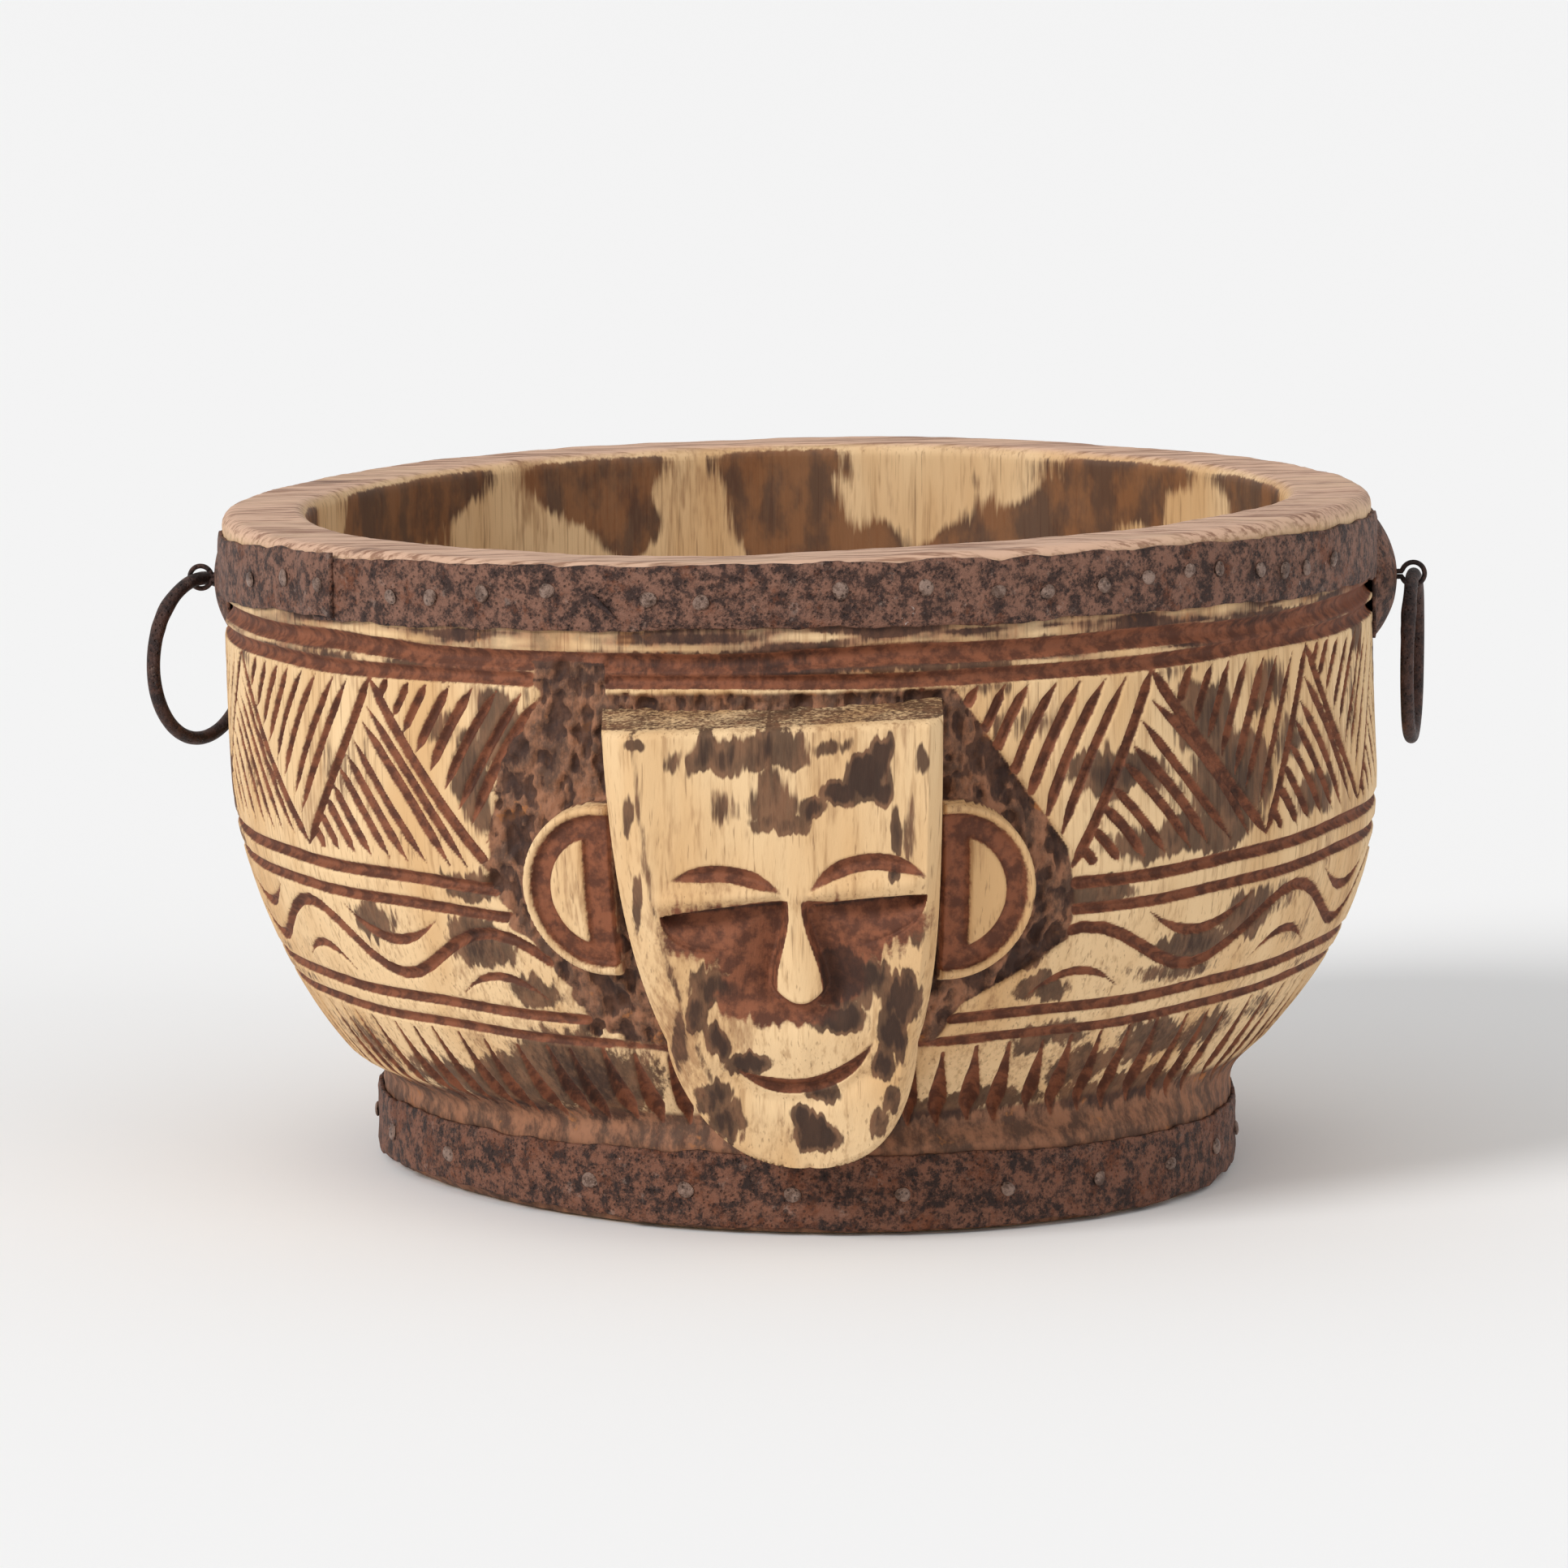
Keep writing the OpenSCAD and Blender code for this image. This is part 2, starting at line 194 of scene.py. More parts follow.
def new_mesh(name, verts, faces, corner_uv=None, values=None, smooth_faces=True):
    """A mesh object from millimetre vertices.

    corner_uv is a UV for each corner of each face, and values holds named numbers for each vertex.
    """
    mesh = bpy.data.meshes.new(name)
    mesh.from_pydata((np.asarray(verts) * MM).tolist(), [], faces)
    if corner_uv is not None:
        layer = mesh.uv_layers.new(name="OFBake")
        layer.data.foreach_set("uv", np.asarray(corner_uv, np.float32).ravel())
    for key, numbers in (values or {}).items():
        attribute = mesh.attributes.new(key, "FLOAT", "POINT")
        attribute.data.foreach_set("value", np.asarray(numbers, np.float32).ravel())
    mesh.polygons.foreach_set("use_smooth", [smooth_faces] * len(mesh.polygons))
    mesh.update()
    ob = bpy.data.objects.new(name, mesh)
    bpy.context.scene.collection.objects.link(ob)
    return ob


def grid_faces(rows, cols, closed=False, flip=False):
    """Quads of a grid of rows by cols vertices, joined round when closed."""
    r, c = np.meshgrid(np.arange(rows - 1), np.arange(cols if closed else cols - 1), indexing="ij")
    n = (c + 1) % cols
    quads = np.stack([r * cols + c, r * cols + n, (r + 1) * cols + n, (r + 1) * cols + c], -1)
    quads = quads.reshape(-1, 4)
    return (quads[:, ::-1] if flip else quads).tolist()


def grid_uv(left, right, low, high):
    """Corner UVs for grid_faces, from each column's left and right u and each quad's low and high v."""
    low, high = np.asarray(low, float), np.asarray(high, float)
    left, right = np.broadcast_to(left, low.shape), np.broadcast_to(right, low.shape)
    corners = np.stack([left, low, right, low, right, high, left, high], -1)
    return corners.reshape(-1, 2)


def laned_uv(turn, levels, lanes):
    """Corner UVs that cut a long strip into lanes stacked in the square.

    turn is each column's place along the strip, from 0 to 1 with the far end last.
    levels is each row's place across it, from 0 to 1.
    """
    at = np.asarray(turn) * lanes
    lane = np.minimum(np.floor(at[:-1] + 1e-9), lanes - 1)
    left, right = at[:-1] - lane, at[1:] - lane
    levels = np.asarray(levels)[:, None] * UV_SHARE + UV_MARGIN
    low, high = (lane + levels[:-1]) / lanes, (lane + levels[1:]) / lanes
    return grid_uv(left * UV_SHARE + UV_MARGIN, right * UV_SHARE + UV_MARGIN, low, high)


def finish_piece(ob, material, slot, body, *nodes):
    """Gives a piece its material and body, and lets it stand for its CAD nodes; slot is not used."""
    ob.data.materials.append(material)
    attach(ob, body)
    if nodes:
        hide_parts(*nodes)
    return ob


# ---- Carving ----

class Canvas:
    """A sheet of numbers over the wall, one row for each height and one column for each azimuth.

    Strokes are drawn in millimetres: u runs along the wall from the front, at the radius WALL_R.
    z is height.
    """

    def __init__(self, az, z):
        self.z = z
        self.u = np.radians(np.where(az > 180, az - 360, az)) * WALL_R
        self.cut = np.zeros((len(z), len(az)))

    def window(self, low, high, shift):
        """The cells between two corners, or None if there are none."""
        cols = np.nonzero((self.u + shift >= low[0]) & (self.u + shift <= high[0]))[0]
        rows = np.nonzero((self.z >= low[1]) & (self.z <= high[1]))[0]
        if len(cols) == 0 or len(rows) == 0:
            return None
        return np.ix_(rows, cols)

    def stroke(self, points, width, depth, ends=(0.3, 0.3), sharp=1.0):
        """Cuts a groove along points. ends are the parts of its length over which it tapers at each end."""
        points = np.asarray(points, float)
        reach = width / 2 + 1
        low, high = points.min(0) - reach, points.max(0) + reach
        lengths = np.hypot(*np.diff(points, axis=0).T)
        at = np.concatenate([[0], np.cumsum(lengths)]) / lengths.sum()
        for shift in (-WALL_ROUND, 0, WALL_ROUND):
            found = self.window(low, high, shift)
            if found is None:
                continue
            u, z = np.meshgrid(self.u[found[1][0]] + shift, self.z[found[0][:, 0]])
            near, along = np.full(u.shape, 1e9), np.zeros(u.shape)
            for i, (a, b) in enumerate(zip(points[:-1], points[1:])):
                d = b - a
                t = np.clip(((u - a[0]) * d[0] + (z - a[1]) * d[1]) / (d @ d), 0, 1)
                away = np.hypot(u - a[0] - t * d[0], z - a[1] - t * d[1])
                closer = away < near
                near = np.where(closer, away, near)
                along = np.where(closer, at[i] + t * (at[i + 1] - at[i]), along)
            thin = np.minimum(
                smooth(along, -0.02, max(ends[0], 0.001)), smooth(along, 1.02, 1 - max(ends[1], 0.001)))
            half = np.maximum(width / 2 * (0.25 + 0.75 * thin), 0.1)
            shape = np.sin(np.clip(1 - near / half, 0, 1) * math.pi / 2) ** sharp
            self.cut[found] = np.maximum(self.cut[found], depth * (0.3 + 0.7 * thin) * shape)


def dip(u):
    """How far the lines round the belly sag towards the front."""
    return 8.0 * bump(np.degrees(u / WALL_R), 0, 55)


LINE_A = 134.5
LINE_B = 87.5
HATCH_TOP = 202.0
WAVE_MID = 109.8

# Where the zigzag's long lines meet the top and the bottom of the hatched belt, from left to right
ZIG_TOPS = [-575, -480, -380, -275, -173, -72, 34, 134, 221, 312, 405, 500, 590, 683]
ZIG_BOTTOMS = [-625, -528, -425, -322, -215, -116, -18, 99, 192, 270, 360, 455, 545, 640, 726]
WAVE_CRESTS = [-645, -540, -435, -330, -225, -122, -15, 105, 215, 315, 420, 520, 610]


def bowed(start, end, bow):
    """Points from start to end that bow sideways by a part of their length."""
    t = np.linspace(0, 1, 6)[:, None]
    start, end = np.array(start, float), np.array(end, float)
    across = np.array([-(end - start)[1], (end - start)[0]])
    return start + (end - start) * t + across * bow * 4 * t * (1 - t)


def carve_hatching(canvas, rng):
    """Zigzag belt: long lines from edge to edge, and each triangle between them filled with slanted cuts."""
    for i, top in enumerate(ZIG_TOPS):
        peak = np.array([top, HATCH_TOP])
        left, right = (np.array([u, LINE_A - dip(u) + 5.5]) for u in ZIG_BOTTOMS[i:i + 2])
        canvas.stroke(bowed(peak, left, 0.02), 4.8, 2.9, (0.1, 0.1))
        canvas.stroke(bowed(peak, right, -0.02), 4.8, 2.9, (0.1, 0.1))
        fill_triangle(canvas, rng, peak, left, right)
        if i + 1 < len(ZIG_TOPS):
            following = np.array([ZIG_TOPS[i + 1], HATCH_TOP])
            fill_triangle(canvas, rng, right, following, peak, rise=True)


def fill_triangle(canvas, rng, corner, near, far, rise=False):
    """Cuts parallel to the side from corner to far, spaced along the third side, in one triangle."""
    count = int(round(abs(near[0] - far[0]) / 9.8))
    for k in range(1, count):
        share = k / count + rng.uniform(-0.012, 0.012)
        if rise:
            end = far + (near - far) * share
            begin = corner + (far - corner) * (1 - share)
        else:
            begin = near + (corner - near) * share
            end = near + (far - near) * share
        inset = 0.05 + rng.uniform(0, 0.04)
        begin, end = begin + (end - begin) * inset, end - (end - begin) * 0.03
        if np.hypot(*(end - begin)) > 7:
            width = 4.5 + rng.uniform(-0.6, 0.6)
            canvas.stroke(bowed(begin, end, rng.uniform(-0.01, 0.045)), width, 2.6, (0.2, 0.22))


def carve_lines(canvas):
    """The two pairs of lines round the belly, and the rough furrows under the rim strap."""
    u = np.linspace(-math.pi, math.pi, 121) * WALL_R
    waver = 0.5 * np.sin(u / 31.0) + 0.35 * np.sin(u / 13.0 + 1)
    for base, width, depth in (
        (LINE_A, 5.2, 2.9), (LINE_A - 9.8, 4.8, 2.6), (LINE_B, 4.8, 2.6), (LINE_B - 8.8, 4.4, 2.4),
    ):
        canvas.stroke(np.stack([u, base - dip(u) + waver], 1), width, depth, (0, 0))
    furrow = 0.9 * np.sin(u / 47.0) + 0.5 * np.sin(u / 17.0)
    canvas.stroke(np.stack([u, 213.0 + furrow], 1), 7.5, 3.4, (0, 0), 0.8)
    canvas.stroke(np.stack([u, 205.2 - 0.6 * furrow], 1), 6.0, 2.8, (0, 0), 0.8)


def carve_wave(canvas):
    """One long wave between the pairs of lines, with a short curved cut in each of its bays."""
    ends = [WAVE_CRESTS[-1] - WALL_ROUND] + WAVE_CRESTS + [WAVE_CRESTS[0] + WALL_ROUND]
    points = []
    for a, b in zip(ends[:-1], ends[1:]):
        for t in np.linspace(0, 1, 13)[:-1]:
            u = a + (b - a) * t
            points.append((u, WAVE_MID - 3.0 - 0.9 * dip(u) + 10.5 * math.cos(2 * math.pi * t)))
    canvas.stroke(points, 5.0, 2.8, (0, 0))
    t = np.linspace(-1, 1, 9)
    for a, b in zip(ends[:-1], ends[1:]):
        bay, crest = (a + b) / 2, a
        if abs(crest) < WALL_ROUND / 2:
            u = crest + 20 * t
            canvas.stroke(np.stack([u, WAVE_MID - 9 - 0.9 * dip(u) - 8 * t ** 2], 1), 3.9, 2.1, (0.45, 0.45))
        u = bay + 26 * t
        canvas.stroke(np.stack([u, WAVE_MID - 0.5 - 0.9 * dip(u) + 10 * t ** 2], 1), 4.6, 2.4, (0.4, 0.4))


def carve_gouges(canvas, rng):
    """Slanted gouges under the second pair of lines, broad in the middle and pointed at both ends."""
    count = 96
    step = WALL_ROUND / count
    for k in range(count):
        u = (k - count / 2) * step + rng.uniform(-2.0, 2.0)
        top = LINE_B - 8.8 - dip(u) - 3.0 - rng.uniform(0, 2)
        low = 39.0 + rng.uniform(-2, 2)
        slant = 4.0 + 7.0 * math.sin(u / WALL_R) ** 2 + rng.uniform(-1, 1)
        middle = (u + slant * 0.35, top * 0.45 + low * 0.55)
        canvas.stroke([(u, top), middle, (u + slant, low)], 8.4 + rng.uniform(-1, 1.2), 4.4, (0.7, 0.3), 0.9)


# Rough ground chiselled back beside the mask: its outer edge as (u, height) from top to bottom, for each side
GROUND_LEFT = [
    (-97, 214), (-100, 196), (-112, 172), (-122, 148), (-118, 128), (-104, 108), (-88, 92), (-80, 70),
]
GROUND_RIGHT = [
    (52, 206), (62, 192), (80, 166), (98, 141), (101, 122), (100, 108), (80, 96), (60, 86), (52, 72),
]


def outline_at(z, outline):
    """An outline's value at heights z; it lists (value, height) from top to bottom."""
    value, height = zip(*reversed(outline))
    return np.interp(z, height, value)


def ground_mask(canvas):
    """1 on the chiselled ground beside the mask, and 0 on the carved wall."""
    u, z = np.meshgrid(canvas.u, canvas.z)
    edge_l, edge_r = outline_at(z, GROUND_LEFT), outline_at(z, GROUND_RIGHT)
    places = np.stack([u, 0 * u, z], -1).reshape(-1, 3)
    ragged = 9.0 * fractal(places, (15, 15, 11), 97, 4).reshape(u.shape)
    inside = smooth(u, edge_l - 1.5 + ragged, edge_l + 1.5 + ragged) * smooth(u, edge_r + 1, edge_r - 1)
    top = np.where(u < -70, 216.0, 204.0)
    return inside * smooth(z, 62, 78) * smooth(z, top, top - 5)


# Each ear: u of its flat side, middle height, the way it points, how far it reaches, and half its height
EARS = ((-73.0, 131.0, -1, 29.0, 32.0), (53.0, 129.0, 1, 30.0, 33.0))


def ear_fields(canvas):
    """The ears' height over the wall, and where their dark hollows and their pale parts are."""
    u, z = np.meshgrid(canvas.u, canvas.z)
    raised, hollow, panel = np.zeros(u.shape), np.zeros(u.shape), np.zeros(u.shape)
    for flat_u, mid, side, reach, half in EARS:
        across = (u - flat_u) * side / reach
        up = (z - mid) / half
        edge = np.hypot(np.maximum(across, 0), up)
        on = smooth(edge, 1.02, 0.94) * (across > -0.15)
        leaf = smooth(edge, 0.66, 0.58) * smooth(across, 0.12, 0.2)
        dark = smooth(edge, 0.9, 0.82) * (1 - leaf) * on
        raised = np.maximum(raised, (8.0 - 4.0 * dark - 1.2 * leaf) * on)
        hollow = np.maximum(hollow, dark)
        panel = np.maximum(panel, leaf * on)
    return raised, hollow, panel


# ---- Scorching ----

# Burnt patches on the wall: (u, height, half width, half height, strength)
WALL_BURNS = [
    (-190, 168, 22, 20, 0.5), (-236, 160, 26, 20, 0.35), (-182, 113, 16, 9, 0.8), (-128, 108, 15, 10, 1.1),
    (-108, 92, 12, 8, 0.9), (-150, 50, 70, 12, 0.85), (-230, 60, 40, 12, 0.55), (-98, 58, 34, 20, 1.1),
    (-124, 168, 10, 22, 1.0), (-112, 188, 14, 16, 0.9), (-138, 186, 10, 8, 0.6), (-128, 130, 16, 7, 0.9),
    (-60, 212, 24, 5, 1.0), (-20, 212, 40, 6, 1.1), (40, 212, 40, 5, 0.85), (-140, 207, 30, 4, 0.9),
    (115, 215, 50, 3, 0.7), (195, 214, 36, 4, 1.1), (240, 212, 26, 6, 0.85), (-200, 207, 40, 4, 0.6),
    (78, 186, 20, 9, 0.5), (118, 167, 22, 9, 1.05), (158, 182, 20, 16, 0.95), (172, 158, 28, 22, 1.05),
    (150, 141, 44, 8, 0.95), (196, 190, 14, 10, 0.65), (226, 146, 18, 9, 0.75), (205, 170, 14, 12, 0.6),
    (262, 178, 12, 26, 0.5), (186, 108, 16, 9, 0.95), (158, 100, 26, 6, 1.0), (150, 91, 34, 5, 0.6),
    (92, 90, 14, 7, 0.95), (84, 104, 10, 7, 0.85), (112, 124, 16, 6, 0.85), (225, 97, 24, 6, 0.45),
    (205, 112, 22, 7, 0.5), (100, 70, 24, 7, 0.8), (122, 56, 18, 9, 1.0), (156, 62, 24, 10, 0.95),
    (190, 64, 28, 10, 0.7), (225, 66, 30, 8, 0.55), (66, 46, 60, 6, 0.8), (160, 44, 60, 7, 0.8),
    (272, 205, 9, 16, 0.95),
]

# Burnt patches on the mask: (x, height, half width, half height, strength)
MASK_BURNS = [
    (-60, 186, 5, 3, 0.6), (-47, 182, 5, 6, 0.55), (-30, 183, 14, 8, 0.85), (-12, 184, 14, 8, 0.8),
    (-11, 167, 9, 13, 0.68), (-8, 158, 12, 4.5, 0.75), (-26, 164, 8, 9, 0.42), (8, 186, 14, 4, 0.5),
    (28, 182, 4.6, 8, 1.2), (23, 175, 9, 6.5, 1.25), (13, 170, 8, 5, 1.15), (3, 164, 6, 5, 0.95),
    (29, 171, 4.5, 5.5, 1.1), (42, 181, 3, 7, 0.6), (33, 157, 2.2, 11, 0.75), (38, 154, 3.5, 20, 0.42),
    (-62, 160, 2.6, 10, 0.65), (-59, 130, 2.4, 13, 0.65), (31, 140, 2.4, 3.8, 0.85),
    (-30, 101, 12, 8, 0.95), (-37, 90, 5, 9, 0.95), (-31, 79, 4.6, 7, 1.0), (-20, 71, 9, 4, 1.05),
    (16, 102, 13, 11, 1.25), (34, 94, 7.5, 10, 1.2), (12, 88, 10, 5.5, 1.15), (31, 82, 5.5, 10, 1.2),
    (27, 71, 4, 7, 1.1), (40, 118, 3, 7, 0.7), (7, 59, 8, 3.4, 0.95), (6, 45, 10, 6.5, 1.3),
    (-1, 49, 4, 5, 1.1), (-32, 59, 8, 7.5, 0.85), (-26, 49, 6.5, 9, 0.9), (-44, 78, 3.4, 15, 0.62),
    (31, 56, 3.5, 8, 0.85), (28, 47, 3.5, 6, 0.8),
]

# Places on the mask rubbed red-brown, like its deep cuts
MASK_RUBS = [
    (-11, 98, 15, 10, 1.1), (-28, 118, 20, 9, 1.0), (22, 120, 20, 9, 0.95), (-2, 90, 10, 4.5, 1.1),
    (8, 108, 7, 14, 0.95), (-18, 106, 10, 8, 1.0),
]


def burns(u, z, points, patches):
    """Scorching from the patches, with wandering outlines that end in fingers along the upright grain."""
    sway = fractal(points, (15, 15, 15), 71, 3).reshape(u.shape)
    lift = fractal(points, (11, 11, 13), 72, 3).reshape(u.shape)
    fingers = fractal(points, (1.7, 1.7, 26), 73, 2).reshape(u.shape)
    total = np.zeros(u.shape)
    for cu, cz, ru, rz, strength in patches:
        wander = 0.55 * min(ru, rz, 14)
        across = (u - cu + wander * sway) / ru
        along = (z - cz + wander * lift + 0.45 * min(rz, 9) * fingers) / rz
        total = np.maximum(total, strength * np.exp(-np.hypot(across, along) ** 3))
    return total


def blurred(field, reach):
    """The field's mean over a square of cells that reaches so far on each side, wrapping round the bowl."""
    for axis in (0, 1):
        mode = "edge" if axis == 0 else "wrap"
        pad = [(reach + 1, reach) if a == axis else (0, 0) for a in (0, 1)]
        total = np.cumsum(np.pad(field, pad, mode=mode), axis=axis)
        count = field.shape[axis]
        high = np.take(total, np.arange(count) + 2 * reach + 1, axis=axis)
        low = np.take(total, np.arange(count), axis=axis)
        field = (high - low) / (2 * reach + 1)
    return field


def wild_burns(rng, low_u, high_u, count):
    """Patches for the back of the bowl, in the same spread of sizes."""
    spreads = ((low_u, high_u), (45, 200), (12, 34), (6, 22), (0.4, 1))
    return [tuple(rng.uniform(*spread) for spread in spreads) for _ in range(count)]


# ---- The wooden bowl ----

# The wall is cut finest between plus and minus this azimuth
NEAR_AZ = 112.0


def wall_columns():
    """Azimuths of the outer wall's columns, closer together over the front and the sides."""
    front, back = ((0.85, 1.5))
    millimetre = math.degrees(1 / WALL_R)
    near = np.linspace(-NEAR_AZ, NEAR_AZ, int(2 * NEAR_AZ / (front * millimetre)), endpoint=False)
    far = np.linspace(NEAR_AZ, 360 - NEAR_AZ, int((360 - 2 * NEAR_AZ) / (back * millimetre)), endpoint=False)
    return np.concatenate([near, far])


WALL_TOP = BOWL_H - RIM_ROUND - 1.5


def wall_rows():
    """Heights of the outer wall's rows."""
    step = 0.85
    return np.concatenate([
        np.linspace(0.8, FOOT_H + 2, 22), np.arange(FOOT_H + 3, 206, step), np.linspace(206, WALL_TOP, 32),
    ])


def make_wall(rng):
    """The outer wall with its carving, the ears, the foot and the underside."""
    az, z = wall_columns(), wall_rows()
    canvas = Canvas(az, z)
    carve_hatching(canvas, rng)
    carve_lines(canvas)
    carve_wave(canvas)
    carve_gouges(canvas, rng)
    u, zz = np.meshgrid(canvas.u, z)
    aa = np.meshgrid(az, z)[0]
    flat = wall_points(aa.ravel(), WALL_R, zz.ravel())

    ground = ground_mask(canvas)
    cut = canvas.cut * (1 - ground) * smooth(zz, 36, 40)
    rough = 1 - 2.4 * np.abs(fractal(flat, (7, 7, 11), 11, 4)).reshape(u.shape)
    fine = fractal(flat, (2.4, 2.4, 3.4), 13, 2).reshape(u.shape)
    raised, hollow, panel = ear_fields(canvas)
    on_ear = raised > 3
    ground *= 1 - on_ear
    out = -cut + 0.22 * fractal(flat, (7, 7, 30), 3, 3).reshape(u.shape)
    out += raised - ground * (2.8 - 2.3 * rough - 0.9 * fine) + 0.5 * fine * hollow
    out += smooth(zz, FOOT_H + 4, FOOT_H) * 0.8 * fractal(flat, (9, 9, 5), 23, 3).reshape(u.shape)

    edge = smooth(zz, 6, 0)
    worn = edge * (1.5 + 3.5 * bump(aa, -58, 22))
    r = outer_r(aa, zz) + out - worn - 0.6 * smooth(zz, WALL_TOP - 3, WALL_TOP)
    top = smooth(zz, 200, BOWL_H) * rim_wave(aa)
    verts = leaning_foot(aa.ravel(), r.ravel(), (zz + top).ravel())

    n = len(az)
    base = leaning_foot(az, outer_r(az, 0.0) - 4.5 - 3.5 * bump(az, -58, 22), np.zeros(n))
    inset = leaning_foot(az, outer_r(az, 0.0) - 40, np.zeros(n))
    centre = np.zeros((1, 3))
    verts = np.concatenate([inset, base, verts, centre])
    rows = len(z) + 2
    faces = grid_faces(rows, n, closed=True)
    faces += [(rows * n, (i + 1) % n, i) for i in range(n)]

    patches = WALL_BURNS + wild_burns(rng, 300, 675, 24) + wild_burns(rng, -675, -300, 24)
    burnt_and_shaded = burns(u, zz, flat, patches)
    near_cut = blurred(canvas.cut, 7) * smooth(noise(flat, (34, 34, 22), 81), 0.05, 0.7).reshape(u.shape)
    burnt_and_shaded = np.maximum(burnt_and_shaded, 0.42 * near_cut * smooth(zz, 60, 68))
    under_rim = smooth(zz, 202, 206)
    streaks = fractal(flat, (30, 30, 3.2), 91, 3).reshape(u.shape)
    burnt_and_shaded = np.maximum(burnt_and_shaded, under_rim * (0.36 + 0.75 * streaks))
    stain = np.maximum(1.3 * smooth(zz, 48, 38), 1.05 * ground)
    stain = np.maximum(stain, under_rim * (0.62 + 0.5 * streaks))
    rust = bump(u, 282, 34) * smooth(zz, 196, 214) + 0.8 * bump(u, -375, 30) * smooth(zz, 190, 212)
    depth = np.clip(np.maximum(cut / 2.0, 0.75 * hollow), 0, 1)
    # The chiselled ground has scorching, and its deeper hollows are painted darker as painted shade.
    char_and_shade = np.maximum(burnt_and_shaded * (1 - panel), ground * (0.75 - 0.7 * rough - 0.3 * fine))
    char_and_shade = np.maximum(char_and_shade, hollow * (0.55 + 0.5 * fine))
    rings = [np.zeros(n), np.zeros(n)]
    values = {
        key: np.concatenate(rings + [field.ravel(), [0.0]])
        for key, field in (("cut", depth), ("scorch_and_shade", char_and_shade), ("stain", stain), ("rust", rust))
    }
    turn = (np.append(az, az[0] + 360) + NEAR_AZ) / 360
    uv = laned_uv(turn, np.linspace(0, 1, rows), 2)
    return new_mesh("carved_wall", verts, faces, np.concatenate([uv, np.full((3 * n, 2), HIDDEN_UV)]), values)


def leaning_foot(az, r, z):
    """Wall points that lean with the bowl above the foot, and stand plumb on the floor below it."""
    upright = wall_points(az, r, z)
    share = smooth(z, FOOT_H, FOOT_H + 22)[:, None]
    return upright * (1 - share) + leaning(upright) * share


def hollow_rows():
    """Radius and height down the hollow, from just under the strap's top edge, over the rim, to the floor."""
    e = RIM_ROUND
    turn = np.linspace(0, math.pi / 2, 6)
    outer = [(WALL_R - 0.12, BOWL_H - 12), (WALL_R - 0.1, BOWL_H - 8)]
    outer += [(WALL_R - e + e * math.cos(t), BOWL_H - e + e * math.sin(t)) for t in turn]
    top = [(r, BOWL_H) for r in np.linspace(WALL_R - e, INNER_R + e, 14)[1:-1]]
    inner = [(INNER_R + e - e * math.sin(t), BOWL_H - e + e * math.cos(t)) for t in turn]
    down = [(INNER_R, z) for z in np.linspace(BOWL_H - e, HOLLOW_Z, 60)[1:]]
    bottom = [
        (INNER_R * math.cos(t), HOLLOW_Z - (HOLLOW_Z - FLOOR_T) * math.sin(t))
        for t in np.linspace(0, math.pi / 2, 50)[1:-1]
    ]
    return np.array(outer + top + inner + down + bottom)


def make_hollow():
    """The rim and the inside of the bowl, with the marks of the adze."""
    n = 720
    az = np.linspace(-180, 180, n, endpoint=False)
    profile = hollow_rows()
    rows = len(profile)
    aa = np.tile(az, rows)
    r = np.repeat(profile[:, 0], n)
    z = np.repeat(profile[:, 1], n)
    flat = wall_points(aa, r, z)
    inside = smooth(r, INNER_R + 2, INNER_R - 0.5) * smooth(r, 8, 30)
    marks = fractal(flat, (16, 16, 34), 31, 3)
    top = smooth(r, INNER_R, INNER_R + 4) * smooth(z, BOWL_H - 9, BOWL_H - 1)
    r = r + inside * marks * 0.9
    ripple = 0.6 * fractal(flat, (24, 24, 24), 37, 3) + 0.25 * fractal(flat, (14, 3, 3), 39, 2)
    z = z + smooth(z, 200, BOWL_H) * rim_wave(aa) + top * ripple
    verts = np.concatenate([leaning(wall_points(aa, r, z)), leaning(np.array([[0, 0, FLOOR_T]]))])
    faces = grid_faces(rows, n, closed=True)
    faces += [(rows * n, (rows - 1) * n + i, (rows - 1) * n + (i + 1) % n) for i in range(n)]
    patch = fractal(flat, (44, 44, 62), 41, 3)
    collar = 0.75 * bump(z, BOWL_H - 8, 12) * smooth(patch, -0.5, 0.1)
    burnt_and_shaded = np.append(np.maximum(smooth(patch, -0.26, 0.2), collar) * inside, 0.2)
    values = {"top": np.append(top, 0.0), "scorch_and_shade": burnt_and_shaded}
    a = np.radians(aa)
    span = np.repeat(np.linspace(0.495, 0.0, rows), n)
    place = np.append(np.stack([0.5 + span * np.sin(a), 0.5 - span * np.cos(a)], 1), [[0.5, 0.5]], 0)
    corners = np.concatenate([np.asarray(face) for face in faces])
    return new_mesh("hollow_and_rim", verts, faces, place[corners], values)


# ---- The mask ----

MASK_TOP = 189.5
MASK_RISE = 5.0
JAW_Z = 77.0
CHIN_Z = 30.5
JAW_HALF = 44.3
# How far the face stands forward, and at which height, from top to bottom
MASK_FRONT = [
    (240, 196), (238, 161), (235, 131), (230, 108), (224.5, 86),
    (218, 63), (214.5, 50), (211.5, 40), (208, 30),
]
# How deep the sides of the mask run into the wall
MASK_SINK = 12.0
# Width and fall of the bevel along each side
BEVEL_LEFT = (10.0, 6.0)
BEVEL_RIGHT = (5.0, 4.5)


